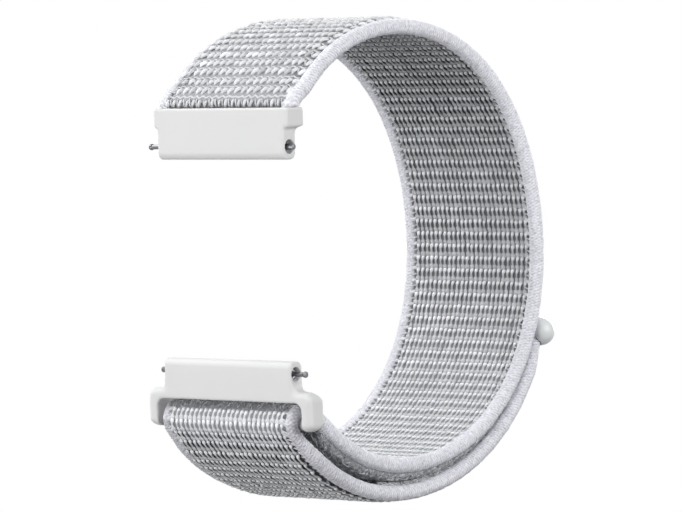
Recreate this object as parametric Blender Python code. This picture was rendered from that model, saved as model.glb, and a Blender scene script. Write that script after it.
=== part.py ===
"""Nylon hook-and-loop watch strap, laid as a ring with the watch left out.

Metres, +Z up. The origin is midway between the two spring bars, where the watch's lugs
hold the strap. X runs along the spring bars, +Y runs from the watch into the ring, and
the upper spring bar is straight above the lower one.
"""

from math import asin, cos, pi, radians, sin

import bmesh
import bpy
import numpy as np
from mathutils import Matrix, Vector

# Watch end: the strap fits 20 mm lugs
LUG_WIDTH = 0.0200
LUG_PLAY = 0.0001
BAR_SPACING = 0.02708

# Spring bars
TUBE_DIAMETER = 0.0015
TUBE_WALL = 0.0002
TUBE_INSET = 0.0005
TUBE_LIP = 0.0003
LIP_HOLE_DIAMETER = 0.0008
BORE_PLAY = 0.0001
INNER_PLAY = 0.00007
SEAT_GAP = 0.00005
SLIDING_REACH = 0.0017
SLIDING_NECK_DIAMETER = 0.00056
SLIDING_HEAD_DIAMETER = 0.0009
SLIDING_HEAD_LENGTH = 0.0004
SLIDING_SHANK_LENGTH = 0.0042
HEAD_CHAMFER = 0.0001
TIP_TRAVEL = 0.0013
FIXED_REACH = 0.0011
FIXED_PIN_DIAMETER = 0.00072
FIXED_PLUG_LENGTH = 0.0020
UPPER_BAR_SHIFT = -0.0004
LOWER_BAR_SHIFT = -0.0001
SPRING_WIRE_DIAMETER = 0.00014
SPRING_DIAMETER = 0.0009
SPRING_TURNS = 12
LEVER_DIAMETER = 0.0007
LEVER_HEAD_DIAMETER = 0.0011
LEVER_HEAD_LENGTH = 0.0003
LEVER_REACH = 0.0004
LEVER_INSET = 0.0024
WINDOW_PLAY = 0.0002

# Connectors
NECK_THICKNESS = 0.0023
NECK_END = 0.0016
SHELL_THICKNESS = 0.0027
SHELL_SETBACK = 0.0005
SHELL_EDGE = 0.0004
NECK_SLOPE = 0.0007
UPPER_NECK = 0.0023
UPPER_SHELL_HEIGHT = 0.00245
POCKET_DEPTH = 0.0022
POCKET_WALL = 0.00035
LOWER_NECK = 0.00215
LOWER_SHELL_CORNER = 0.0011
BRIDGE_HEIGHT = 0.00125
SLOT_PLAY = 0.0005
SLOT_WALL = 0.0015
SLOT_CORNER = 0.0009
WALL_END = 0.0010
LOOP_BAR_DIAMETER = 0.0015
LOOP_BAR_SETBACK = 0.0005
LOOP_BAR_DROP = 0.00266
LOOP_BAR_PLAY = 0.00025
POCKET_PLAY = 0.00015

# Band: a woven pad between two rolled edges, thinner and narrower where it is squeezed
BAND_WIDTH = 0.0216
POCKET_SQUEEZE = 0.0016
FOLD_SQUEEZE = 0.0008
TAB_SQUEEZE = 0.0016
FOLD_SHIFT = -0.0003
PAD_PROUD_FACE = 0.00115
PAD_SUNKEN_FACE = 0.00045
PAD_SQUEEZED_FACE = 0.0006
PAD_SHOULDER = 0.0006
PAD_EDGE_THICKNESS = 0.0009
ROLL_DIAMETER = 0.0016
ROLL_SQUEEZED_DIAMETER = 0.0013
ROLL_GAP = 0.0001
SQUEEZE_LENGTH = 0.0050
HOOK_SIDE_FACE = 0.00012
HOOK_PATCH_THICKNESS = 0.00025
HOOK_PATCH_WIDTH = 0.0160
CUT_GAP = 0.0003

# Ring: a circle with small departures, each with a number of lobes, a height and a lean
RING_RADIUS = 0.0268
RING_RISE = 0.0005
FOLD_APPROACH = 0.0034
MOUTH_BEND_RISE = 0.0018
RING_LOBES = ((2, 0.00057, radians(-64)), (3, 0.00024, radians(4)), (4, 0.00032, radians(-41)))
FOLD_FROM = radians(80)
FOLD_TO = radians(221.5)
TAIL_START_AFTER = radians(3.5)
TAIL_SPLIT_ANGLE = radians(-80)
TAB_ANGLE = radians(-25)
TAIL_GAP_AT_TAB = 0.00204
TAIL_GAP_GROWTH = 0.0020
TAIL_LIFT = 0.0005
TAIL_LIFT_LENGTH = radians(14)

# End tab: a round-ended bar, moulded over the tail's end
TAB_DIAMETER = 0.0036
TAB_OVERHANG = 0.0005
TAB_OFFSET = 0.0005
TAB_FLAT = 0.00115
TAB_GRIP = 0.0006
TAB_PLAY = 0.0001

# How finely round shapes are cut, and how far a cutter runs past what it cuts
ROUND_SIDES = 24
PIN_SIDES = 16
ROLL_SIDES = 10
WIRE_SIDES = 4
CURL_POINTS = 8
RING_STEP = radians(5)
FOLD_STEPS = 10
BRIDGE_STEPS = 6
HANDLE_SHARE = 0.36
OVERRUN = 0.0010

# Worked out from the sizes above
NECK_HALF = LUG_WIDTH / 2 - LUG_PLAY
BAR_HEIGHT = BAR_SPACING / 2
BORE_RADIUS = TUBE_DIAMETER / 2 + BORE_PLAY
TUBE_INNER_RADIUS = TUBE_DIAMETER / 2 - TUBE_WALL
SHANK_RADIUS = TUBE_INNER_RADIUS - INNER_PLAY
SHELL_FRONT = SHELL_SETBACK - NECK_THICKNESS / 2
SHELL_BACK = SHELL_FRONT + SHELL_THICKNESS
SHELL_MIDDLE = (SHELL_FRONT + SHELL_BACK) / 2
UPPER_STEP = BAR_HEIGHT + UPPER_NECK
UPPER_TOP = UPPER_STEP + UPPER_SHELL_HEIGHT
LOWER_STEP = BAR_HEIGHT + LOWER_NECK
SLOT_TOP = LOWER_STEP + BRIDGE_HEIGHT
LOOP_BAR_CENTRE = np.array((SHELL_MIDDLE + LOOP_BAR_SETBACK, -SLOT_TOP - LOOP_BAR_DROP))
LOOP_BAR_RADIUS = LOOP_BAR_DIAMETER / 2
FOLD_RADIUS = LOOP_BAR_RADIUS + LOOP_BAR_PLAY + ROLL_SQUEEZED_DIAMETER / 2
POCKET_WIDTH = BAND_WIDTH - POCKET_SQUEEZE + 2 * POCKET_PLAY
UPPER_SHELL_WIDTH = POCKET_WIDTH + 2 * POCKET_WALL
SLOT_WIDTH = BAND_WIDTH + 2 * SLOT_PLAY
LOWER_SHELL_WIDTH = SLOT_WIDTH + 2 * SLOT_WALL
FOLD_START_DROP = asin((RING_RISE - LOOP_BAR_CENTRE[1]) / RING_RADIUS)
FOLD_START_ANGLE = FOLD_START_DROP - pi
TOP_END_ANGLE = pi - asin((UPPER_TOP + MOUTH_BEND_RISE - RING_RISE) / RING_RADIUS)
TAIL_START_ANGLE = FOLD_START_ANGLE + TAIL_START_AFTER
RING_SETBACK = LOOP_BAR_CENTRE[0] + FOLD_APPROACH + RING_RADIUS * cos(FOLD_START_DROP)
RING_CENTRE = np.array((RING_SETBACK, RING_RISE))
TAB_RADIUS = TAB_DIAMETER / 2
TAB_WIDTH = BAND_WIDTH + 2 * TAB_OVERHANG

PLASTIC = ("moulded_white_plastic", (0.76, 0.76, 0.76), 0.45, 0.0)
GLOSS = ("glossy_white_tab", (0.80, 0.83, 0.84), 0.18, 0.0)
STEEL = ("spring_bar_steel", (0.42, 0.42, 0.42), 0.30, 1.0)
WEAVE = ("woven_nylon_pad", (0.52, 0.53, 0.55), 0.85, 0.0)
ROLL = ("rolled_nylon_edge", (0.68, 0.68, 0.72), 0.80, 0.0)
HOOK = ("nylon_hook_tape", (0.60, 0.61, 0.62), 0.60, 0.0)


def clear_scene():
    for obj in list(bpy.data.objects):
        bpy.data.objects.remove(obj, do_unlink=True)


def material(look):
    name, colour, roughness, metallic = look
    found = bpy.data.materials.get(name)
    if found:
        return found
    made = bpy.data.materials.new(name)
    made.use_nodes = True
    shader = made.node_tree.nodes["Principled BSDF"]
    shader.inputs["Base Color"].default_value = (*colour, 1.0)
    shader.inputs["Roughness"].default_value = roughness
    shader.inputs["Metallic"].default_value = metallic
    made.diffuse_color = (*colour, 1.0)
    return made


def add_object(name, points, faces, look, origin=(0, 0, 0)):
    """A mesh given in the strap's own frame, with its origin moved to a chosen point."""
    mesh = bpy.data.meshes.new(name)
    mesh.from_pydata([tuple(p) for p in points], [], faces)
    shape = bmesh.new()
    shape.from_mesh(mesh)
    bmesh.ops.recalc_face_normals(shape, faces=shape.faces)
    shape.to_mesh(mesh)
    shape.free()
    mesh.transform(Matrix.Translation(-Vector(origin)))
    mesh.shade_smooth()
    mesh.set_sharp_from_angle(angle=radians(35))
    mesh.materials.append(material(look))
    made = bpy.data.objects.new(name, mesh)
    made.location = origin
    bpy.context.scene.collection.objects.link(made)
    return made


def as_tool(obj):
    """Marks a shape that only cuts or joins, so it is no piece of the strap."""
    obj.hide_render = True
    obj.display_type = "WIRE"
    return obj


def combine(target, tool, operation):
    step = target.modifiers.new(operation.lower() + "_" + tool.name, "BOOLEAN")
    step.operation = operation
    step.solver = "EXACT"
    step.object = as_tool(tool)


def lofted(name, rings, look, origin=(0, 0, 0)):
    """A solid through a row of rings with as many points each, closed at both ends."""
    count = len(rings[0])
    points = [p for ring in rings for p in ring]
    faces = []
    for row in range(len(rings) - 1):
        for i in range(count):
            j = (i + 1) % count
            a, b = row * count, (row + 1) * count
            faces.append((a + i, a + j, b + j, b + i))
    faces.append(tuple(reversed(range(count))))
    last = (len(rings) - 1) * count
    faces.append(tuple(range(last, last + count)))
    return add_object(name, points, faces, look, origin)


def extruded(name, outline, x_from, x_to, look, origin=(0, 0, 0)):
    """An outline of (y, z) points carried along X."""
    rings = [[(x, y, z) for y, z in outline] for x in (x_from, x_to)]
    return lofted(name, rings, look, origin)


def block(name, low, high, look, origin=(0, 0, 0)):
    outline = ((low[1], low[2]), (high[1], low[2]), (high[1], high[2]), (low[1], high[2]))
    return extruded(name, outline, low[0], high[0], look, origin)


def turned(name, outline, height, look, sides, origin=(0, 0, 0), hollow=False):
    """An outline of (x, radius) points turned round the spring bar's axis at one height.

    A solid outline starts and ends on the axis; a hollow one closes on itself.
    """
    points, rings = [], []
    for x, radius in outline:
        if radius == 0:
            rings.append([len(points)])
            points.append((x, 0, height))
            continue
        rings.append(list(range(len(points), len(points) + sides)))
        for k in range(sides):
            turn = 2 * pi * k / sides
            points.append((x, radius * cos(turn), height + radius * sin(turn)))
    pairs = list(zip(rings, rings[1:]))
    if hollow:
        pairs.append((rings[-1], rings[0]))
    faces = []
    for one, two in pairs:
        for k in range(sides):
            n = (k + 1) % sides
            if len(one) == 1:
                faces.append((one[0], two[n], two[k]))
            elif len(two) == 1:
                faces.append((one[k], one[n], two[0]))
            else:
                faces.append((one[k], one[n], two[n], two[k]))
    return add_object(name, points, faces, look, origin)


def cylinder(name, centre, radius, x_from, x_to, look, sides, origin=(0, 0, 0)):
    """A round bar along X about a (y, z) centre."""
    turns = [2 * pi * k / sides for k in range(sides)]
    outline = [(centre[0] + radius * cos(t), centre[1] + radius * sin(t)) for t in turns]
    return extruded(name, outline, x_from, x_to, look, origin)


def arc(centre, radius, start, end, steps):
    turns = np.linspace(start, end, steps + 1)
    return [(centre[0] + radius * cos(t), centre[1] + radius * sin(t)) for t in turns]


def ring_radius(angle):
    """The mean radius plus a small cosine wave for each set of lobes."""
    return RING_RADIUS + sum(height * cos(n * (angle - lean)) for n, height, lean in RING_LOBES)


def ring_point(angle, gap=0.0):
    """A point of the band's line, moved outwards by a gap, and the heading there.

    The line is followed with the angle falling, so the ring's outside is on its left.
    """
    radius = ring_radius(angle)
    slope = -sum(n * height * sin(n * (angle - lean)) for n, height, lean in RING_LOBES)
    out = np.array((cos(angle), sin(angle)))
    along = np.array((-sin(angle), cos(angle)))
    heading = -(slope * out + radius * along)
    heading /= np.linalg.norm(heading)
    return RING_CENTRE + radius * out + gap * left_of(heading), heading


def left_of(heading):
    return np.array((-heading[1], heading[0]))


def smooth_step(share):
    share = min(max(share, 0.0), 1.0)
    return share * share * (3 - 2 * share)


def tail_gap(angle):
    """How far the tail's line lies outside the main line: least before the end tab."""
    from_tab_share = (TAB_ANGLE - angle) / (TAB_ANGLE - TAIL_START_ANGLE)
    lift_share = smooth_step(1 - (TAB_ANGLE - angle) / TAIL_LIFT_LENGTH)
    return TAIL_GAP_AT_TAB + TAIL_GAP_GROWTH * from_tab_share + TAIL_LIFT * lift_share


def bend(start, start_heading, end, end_heading):
    """A cubic curve between two points with given headings, without its two ends."""
    reach = HANDLE_SHARE * np.linalg.norm(end - start)
    near, far = start + reach * start_heading, end - reach * end_heading
    shares = np.linspace(0, 1, BRIDGE_STEPS + 1)[1:-1]
    return [
        (1 - t) ** 3 * start + 3 * (1 - t) ** 2 * t * near + 3 * (1 - t) * t**2 * far + t**3 * end
        for t in shares
    ]


def ring_run(start, end, gap_of):
    steps = max(1, round(abs(end - start) / RING_STEP))
    return [ring_point(a, gap_of(a))[0] for a in np.linspace(start, end, steps + 1)]


def no_gap(angle):
    return 0.0


def fold_point(turn):
    """A point of the fold round the loop bar, and the heading there."""
    out = np.array((cos(turn), sin(turn)))
    return LOOP_BAR_CENTRE + FOLD_RADIUS * out, left_of(out)


def main_line():
    """From inside the pocket, round the ring, to where the fold leaves the loop bar."""
    mouth = np.array((SHELL_MIDDLE, UPPER_TOP))
    foot = mouth - np.array((0, POCKET_DEPTH - POCKET_PLAY))
    first, first_heading = ring_point(TOP_END_ANGLE)
    last, last_heading = ring_point(FOLD_START_ANGLE)
    fold, fold_heading = fold_point(FOLD_FROM)
    line = [foot, mouth]
    line += bend(mouth, np.array((0, 1)), first, first_heading)
    line += ring_run(TOP_END_ANGLE, FOLD_START_ANGLE, no_gap)
    line += bend(last, last_heading, fold, fold_heading)
    line += [fold_point(t)[0] for t in np.linspace(FOLD_FROM, FOLD_TO, FOLD_STEPS + 1)]
    return np.array(line)


def tail_line():
    """From the fold's end along the outside of the main band, to inside the end tab."""
    start, heading = fold_point(FOLD_TO)
    first = ring_point(TAIL_START_ANGLE, tail_gap(TAIL_START_ANGLE))[0]
    ahead = ring_point(TAIL_START_ANGLE + RING_STEP, tail_gap(TAIL_START_ANGLE + RING_STEP))[0]
    reverse = (ahead - first) / np.linalg.norm(ahead - first)
    grip = TAB_GRIP / (RING_RADIUS + TAIL_GAP_AT_TAB)
    line = [start] + bend(start, heading, first, reverse)
    root = line + ring_run(TAIL_START_ANGLE, TAIL_SPLIT_ANGLE, tail_gap)
    end = ring_run(TAIL_SPLIT_ANGLE, TAB_ANGLE + grip, tail_gap)
    return np.array(root), np.array(end)


def headings(line):
    """Unit directions along a line of points, by central differences."""
    runs = np.gradient(line, axis=0)
    return runs / np.linalg.norm(runs, axis=1)[:, None]


def distances(line):
    steps = np.linalg.norm(np.diff(line, axis=0), axis=1)
    return np.concatenate(([0.0], np.cumsum(steps)))


def squeeze_at(line, from_end, held):
    """1 at one end of the line and as far as it is held, falling to 0 over the squeeze length."""
    run = distances(line)
    away = run[-1] - run if from_end else run
    return np.array([1 - smooth_step((d - held) / SQUEEZE_LENGTH) for d in away])


def between(full, squeezed, squeeze):
    return full + (squeezed - full) * squeeze


def shortened(line, start_cut, end_cut):
    """The same line with a little cut from its ends, for the gap at a joint."""
    cut = line.copy()
    if start_cut:
        cut[0] += (line[1] - line[0]) / np.linalg.norm(line[1] - line[0]) * start_cut
    if end_cut:
        cut[-1] += (line[-2] - line[-1]) / np.linalg.norm(line[-2] - line[-1]) * end_cut
    return cut


def swept(name, line, section_at, look, origin=(0, 0, 0)):
    """A section of (x, offset to the left) points carried along a (y, z) line."""
    rings = []
    for k, (point, heading) in enumerate(zip(line, headings(line))):
        side = left_of(heading)
        rings.append([(x, *(point + side * off)) for x, off in section_at(k)])
    return lofted(name, rings, look, origin)


def pad_section(centre, half_width, right, left):
    """Eight points: a thick pad with sloped shoulders beside the rolled edges."""
    inner = half_width - PAD_SHOULDER
    edge = PAD_EDGE_THICKNESS / 2
    half = ((inner, left), (half_width, min(edge, left)))
    half += ((half_width, -min(edge, right)), (inner, -right))
    near = [(centre + x, off) for x, off in half]
    far = [(centre - x, off) for x, off in reversed(half)]
    return near + far


def band_stretch(prefix, line, squeezes, faces, origin):
    """One stretch of the band: its pad and its two rolled edges.

    Each squeeze is a set of shares along the line, the width it takes off and its sideways
    shift. The faces are the pad's right and left side, from the line of the rolls.
    """
    squeeze = np.max([shares for shares, taken, shift in squeezes], axis=0)
    half_band = (BAND_WIDTH - sum(shares * taken for shares, taken, shift in squeezes)) / 2
    centre = sum(shares * shift for shares, taken, shift in squeezes)
    roll = between(ROLL_DIAMETER, ROLL_SQUEEZED_DIAMETER, squeeze) / 2
    half_pad = half_band - 2 * roll - ROLL_GAP
    right = between(faces[0], max(min(faces[0], PAD_SQUEEZED_FACE), faces[0] / 2), squeeze)
    left = between(faces[1], min(faces[1], PAD_SQUEEZED_FACE), squeeze)

    def pad_at(k):
        return pad_section(centre[k], half_pad[k], right[k], left[k])

    swept(prefix + "_weave", line, pad_at, WEAVE, origin)
    for side_name, side in (("near", 1), ("far", -1)):

        def roll_at(k, side=side):
            turns = [2 * pi * i / ROLL_SIDES for i in range(ROLL_SIDES)]
            middle = centre[k] + side * (half_band[k] - roll[k])
            return [(middle + roll[k] * cos(t), roll[k] * sin(t)) for t in turns]

        swept(f"{prefix}_{side_name}_edge_roll", line, roll_at, ROLL, origin)


def make_main_band():
    line = main_line()
    fold_length = FOLD_RADIUS * (FOLD_TO - FOLD_FROM)
    line = shortened(line, 0, CUT_GAP / 2)
    squeezes = (
        (squeeze_at(line, False, POCKET_DEPTH), POCKET_SQUEEZE, 0),
        (squeeze_at(line, True, fold_length), FOLD_SQUEEZE, FOLD_SHIFT),
    )
    band_stretch("main_band", line, squeezes, (PAD_SUNKEN_FACE, PAD_PROUD_FACE), (0, 0, 0))


def peel_axis(point, heading, depth):
    """A hinge on the face that turns outwards, so that the peeled stretch opens away."""
    return (0, *(point - left_of(heading) * depth))


def make_tail():
    root, end = tail_line()
    start, start_heading = fold_point(FOLD_TO)
    root_axis = peel_axis(start, start_heading, ROLL_SQUEEZED_DIAMETER / 2)
    split_heading = headings(np.vstack((root[-2:], end[1:2])))[1]
    end_axis = peel_axis(root[-1], split_heading, PAD_PROUD_FACE)
    root = shortened(root, CUT_GAP / 2, CUT_GAP / 2)
    end = shortened(end, CUT_GAP / 2, 0)
    at_fold = ((squeeze_at(root, False, 0), FOLD_SQUEEZE, FOLD_SHIFT),)
    at_tab = ((squeeze_at(end, True, TAB_RADIUS), TAB_SQUEEZE, 0),)
    band_stretch("tail_root", root, at_fold, (PAD_PROUD_FACE, PAD_SUNKEN_FACE), root_axis)
    band_stretch("tail_end", end, at_tab, (PAD_PROUD_FACE, HOOK_SIDE_FACE), end_axis)
    make_hook_patch(end, end_axis)
    make_end_tab(end, end_axis)
    print("peel axes", root_axis, end_axis)


def make_hook_patch(line, origin):
    """A strip of hook tape on the face that meets the main band."""
    away = distances(line)[-1] - distances(line)
    stretch = line[away > TAB_RADIUS + SQUEEZE_LENGTH]
    near = HOOK_SIDE_FACE + SEAT_GAP
    far = near + HOOK_PATCH_THICKNESS
    half = HOOK_PATCH_WIDTH / 2

    def section(k):
        return ((half, near), (half, far), (-half, far), (-half, near))

    swept("hook_patch", stretch, section, HOOK, origin)


def make_end_tab(line, origin):
    """A round-ended bar along X, flat where it lies on the main band, with a pocket."""
    on_line, heading = ring_point(TAB_ANGLE, tail_gap(TAB_ANGLE))
    side = left_of(heading)
    centre = on_line + side * TAB_OFFSET
    straight = TAB_WIDTH / 2 - TAB_RADIUS
    dome_steps = ROUND_SIDES // 4
    stations = []
    for k in range(1, dome_steps + 1):
        turn = pi / 2 * k / dome_steps
        stations.append((-straight - TAB_RADIUS * cos(turn), TAB_RADIUS * sin(turn)))
    stations += [(-x, radius) for x, radius in reversed(stations)]
    rings = []
    for x, radius in stations:
        ring = []
        for k in range(ROUND_SIDES):
            turn = 2 * pi * k / ROUND_SIDES
            across = max(radius * cos(turn), -TAB_OFFSET - TAB_FLAT)
            ring.append((x, *(centre + side * across + heading * radius * sin(turn))))
        rings.append(ring)
    tab = lofted("end_tab", rings, GLOSS, origin)
    half_width = (BAND_WIDTH - TAB_SQUEEZE) / 2 + TAB_PLAY
    half_height = ROLL_SQUEEZED_DIAMETER / 2 + TAB_PLAY
    mouth = on_line + heading * (TAB_RADIUS + OVERRUN)
    floor = on_line - heading * (TAB_GRIP + TAB_PLAY)
    corners = (
        mouth + side * half_height,
        mouth - side * half_height,
        floor - side * half_height,
        floor + side * half_height,
    )
    pocket = extruded("tab_pocket_cutter", corners, -half_width, half_width, GLOSS)
    combine(tab, pocket, "DIFFERENCE")


def neck_outline(step, shell_depth, up):
    """The side view of a neck with its rounded free end, running into the shell.

    Lengths are measured from the spring bar towards the band: up is 1 above, -1 below.
    """
    half = NECK_THICKNESS / 2
    front, back, inside = SHELL_FRONT + SHELL_EDGE, SHELL_BACK - SHELL_EDGE, step + shell_depth
    outline = arc((0, half - NECK_END), half, pi, 2 * pi, ROUND_SIDES // 2)
    outline += [(half, step - NECK_SLOPE), (back, step), (back, inside)]
    outline += [(front, inside), (front, step + NECK_SLOPE), (-half, step - NECK_SLOPE)]
    return [(y, up * (BAR_HEIGHT + w)) for y, w in outline]


def rounded(obj, width, segments):
    """Rounds the sharp edges of a plain block."""
    step = obj.modifiers.new("rounded_edges", "BEVEL")
    step.width = width
    step.segments = segments
    step.limit_method = "ANGLE"
    step.angle_limit = radians(40)


def bore_and_window(body, up, slide_side, shift):
    """The spring bar's bore through the neck, and the lever's window at the wrist side."""
    height = up * BAR_HEIGHT
    reach = NECK_HALF + OVERRUN
    bore = cylinder(body.name + "_bore_cutter", (0, height), BORE_RADIUS, -reach, reach,
                    PLASTIC, ROUND_SIDES)
    combine(body, bore, "DIFFERENCE")
    ends = lever_window(slide_side, shift, LEVER_HEAD_DIAMETER / 2 + WINDOW_PLAY)
    half = LEVER_HEAD_DIAMETER / 2 + WINDOW_PLAY
    window = block(body.name + "_window_cutter", (ends[0], 0, height - half),
                   (ends[1], NECK_THICKNESS, height + half), PLASTIC)
    combine(body, window, "DIFFERENCE")


def lever_place(slide_side, shift):
    return slide_side * (NECK_HALF - TUBE_INSET - LEVER_INSET) + shift


def lever_window(slide_side, shift, half_width):
    """The stretch of X that the lever sweeps, from rest to full travel inwards."""
    rest = lever_place(slide_side, shift)
    inner = rest - slide_side * TIP_TRAVEL
    return min(rest, inner) - half_width, max(rest, inner) + half_width


def make_upper_connector():
    half = UPPER_SHELL_WIDTH / 2
    shell = block("upper_connector", (-half, SHELL_FRONT, UPPER_STEP),
                  (half, SHELL_BACK, UPPER_TOP), PLASTIC, (0, 0, BAR_HEIGHT))
    rounded(shell, SHELL_EDGE, 2)
    neck = extruded("upper_neck_tool", neck_outline(UPPER_NECK, UPPER_SHELL_HEIGHT / 2, 1),
                    -NECK_HALF, NECK_HALF, PLASTIC)
    combine(shell, neck, "UNION")
    half_width = POCKET_WIDTH / 2
    half_depth = ROLL_SQUEEZED_DIAMETER / 2 + POCKET_PLAY
    pocket = block("upper_pocket_cutter",
                   (-half_width, SHELL_MIDDLE - half_depth, UPPER_TOP - POCKET_DEPTH),
                   (half_width, SHELL_MIDDLE + half_depth, UPPER_TOP + OVERRUN), PLASTIC)
    combine(shell, pocket, "DIFFERENCE")
    bore_and_window(shell, 1, -1, UPPER_BAR_SHIFT)


def make_lower_connector():
    half = LOWER_SHELL_WIDTH / 2
    floor = LOOP_BAR_CENTRE[1] - WALL_END
    origin = (0, *LOOP_BAR_CENTRE)
    shell = block("lower_connector", (-half, SHELL_FRONT, floor),
                  (half, SHELL_BACK, -LOWER_STEP), PLASTIC, origin)
    rounded(shell, LOWER_SHELL_CORNER, 4)
    neck = extruded("lower_neck_tool", neck_outline(LOWER_NECK, BRIDGE_HEIGHT / 2, -1),
                    -NECK_HALF, NECK_HALF, PLASTIC)
    combine(shell, neck, "UNION")
    half_slot = SLOT_WIDTH / 2
    slot = block("slot_cutter", (-half_slot, SHELL_FRONT - OVERRUN, floor - OVERRUN),
                 (half_slot, SHELL_BACK + OVERRUN, -SLOT_TOP), PLASTIC)
    rounded(slot, SLOT_CORNER, 2)
    combine(shell, slot, "DIFFERENCE")
    into_wall = half_slot + SLOT_WALL / 2
    bar = cylinder("loop_bar_tool", LOOP_BAR_CENTRE, LOOP_BAR_RADIUS, -into_wall, into_wall,
                   PLASTIC, ROUND_SIDES)
    combine(shell, bar, "UNION")
    bore_and_window(shell, -1, 1, LOWER_BAR_SHIFT)


def mirrored(outline, side, shift):
    """An outline of (x, radius) points for a bar whose sliding tip is at +X or -X."""
    placed = [(side * x + shift, radius) for x, radius in outline]
    return placed if side > 0 else placed[::-1]


def make_tube(prefix, up, side, shift):
    """A thin tube with a rolled-in lip at each end and a window for the lever."""
    end = NECK_HALF - TUBE_INSET
    outer, inner, lip = TUBE_DIAMETER / 2, TUBE_INNER_RADIUS, LIP_HOLE_DIAMETER / 2
    outline = (
        (-end, lip), (-end, outer), (end, outer), (end, lip),
        (end - TUBE_LIP, lip), (end - TUBE_LIP, inner),
        (-end + TUBE_LIP, inner), (-end + TUBE_LIP, lip),
    )
    height = up * BAR_HEIGHT
    tube = turned(prefix + "_bar_tube", mirrored(outline, side, shift), height, STEEL,
                  ROUND_SIDES, (0, 0, height), hollow=True)
    ends = lever_window(side, shift, LEVER_DIAMETER / 2 + WINDOW_PLAY / 2)
    half = LEVER_DIAMETER / 2 + WINDOW_PLAY / 2
    window = block(prefix + "_tube_window_cutter", (ends[0], 0, height - half),
                   (ends[1], TUBE_DIAMETER, height + half), STEEL)
    combine(tube, window, "DIFFERENCE")


def make_tips(prefix, up, side, shift):
    """The fixed tip at one end of the tube, the sliding tip at the other."""
    height = up * BAR_HEIGHT
    seat = NECK_HALF - TUBE_INSET - TUBE_LIP - SEAT_GAP
    reach = NECK_HALF + SLIDING_REACH
    head, neck = SLIDING_HEAD_DIAMETER / 2, SLIDING_NECK_DIAMETER / 2
    sliding = (
        (seat - SLIDING_SHANK_LENGTH, 0), (seat - SLIDING_SHANK_LENGTH, SHANK_RADIUS),
        (seat, SHANK_RADIUS), (seat, neck),
        (reach - SLIDING_HEAD_LENGTH, neck), (reach - SLIDING_HEAD_LENGTH, head),
        (reach - HEAD_CHAMFER, head), (reach, head - HEAD_CHAMFER), (reach, 0),
    )
    turned(prefix + "_sliding_tip", mirrored(sliding, side, shift), height, STEEL, PIN_SIDES,
           (side * reach + shift, 0, height))
    pin, out = FIXED_PIN_DIAMETER / 2, NECK_HALF + FIXED_REACH
    fixed = (
        (seat - FIXED_PLUG_LENGTH, 0), (seat - FIXED_PLUG_LENGTH, SHANK_RADIUS),
        (seat, SHANK_RADIUS), (seat, pin),
        (out - HEAD_CHAMFER, pin), (out, pin - HEAD_CHAMFER), (out, 0),
    )
    turned(prefix + "_fixed_tip", mirrored(fixed, -side, shift), height, STEEL, PIN_SIDES,
           (shift, 0, height))


def make_lever(prefix, up, side, shift):
    """A small stud on the sliding tip's shank, with a head outside the neck."""
    height = up * BAR_HEIGHT
    x = lever_place(side, shift)
    foot, head = SHANK_RADIUS + SEAT_GAP, NECK_THICKNESS / 2 + LEVER_REACH
    stud, knob = LEVER_DIAMETER / 2, LEVER_HEAD_DIAMETER / 2
    rings = []
    for y, radius in ((foot, stud), (head - LEVER_HEAD_LENGTH, stud),
                      (head - LEVER_HEAD_LENGTH, knob), (head, knob)):
        turns = [2 * pi * k / PIN_SIDES for k in range(PIN_SIDES)]
        rings.append([(x + radius * cos(t), y, height + radius * sin(t)) for t in turns])
    lofted(prefix + "_release_lever", rings, STEEL, (x, 0, height))


def make_spring(prefix, up, side, shift):
    """A coil from the fixed tip's plug to the sliding tip's shank."""
    height = up * BAR_HEIGHT
    seat = NECK_HALF - TUBE_INSET - TUBE_LIP - SEAT_GAP
    wire = SPRING_WIRE_DIAMETER / 2
    start = -(seat - FIXED_PLUG_LENGTH) + SEAT_GAP + wire
    end = seat - SLIDING_SHANK_LENGTH - SEAT_GAP - wire
    radius = SPRING_DIAMETER / 2 - wire
    count = SPRING_TURNS * CURL_POINTS
    turns = np.linspace(0, 2 * pi * SPRING_TURNS, count + 1)
    xs = np.linspace(start, end, count + 1)
    pitch = (end - start) / SPRING_TURNS
    print(prefix, "spring: least gap between curls", round(pitch - SPRING_WIRE_DIAMETER, 6))
    rings = []
    for x, turn in zip(xs, turns):
        out = np.array((0, cos(turn), sin(turn)))
        across = np.array((1, 0, 0))
        middle = np.array((side * x + shift, 0, height)) + radius * out
        spin = [2 * pi * k / WIRE_SIDES for k in range(WIRE_SIDES)]
        rings.append([middle + wire * (cos(s) * out + sin(s) * across) for s in spin])
    lofted(prefix + "_bar_spring", rings, STEEL, (shift, 0, height))


def make_spring_bar(prefix, up, side, shift):
    make_tube(prefix, up, side, shift)
    make_tips(prefix, up, side, shift)
    make_lever(prefix, up, side, shift)
    make_spring(prefix, up, side, shift)


def main():
    clear_scene()
    make_upper_connector()
    make_lower_connector()
    make_spring_bar("upper", 1, -1, UPPER_BAR_SHIFT)
    make_spring_bar("lower", -1, 1, LOWER_BAR_SHIFT)
    make_main_band()
    make_tail()
    print("loop bar axis", LOOP_BAR_CENTRE)


main()
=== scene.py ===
"""Looks of the nylon watch strap: woven band, rolled edges, moulded ends and studio.

Metres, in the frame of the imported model: X along the spring bars, Z up.
"""

from math import asin, cos, pi, radians, sin, tau

import bpy
import numpy as np
from mathutils import Matrix, Vector


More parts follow.
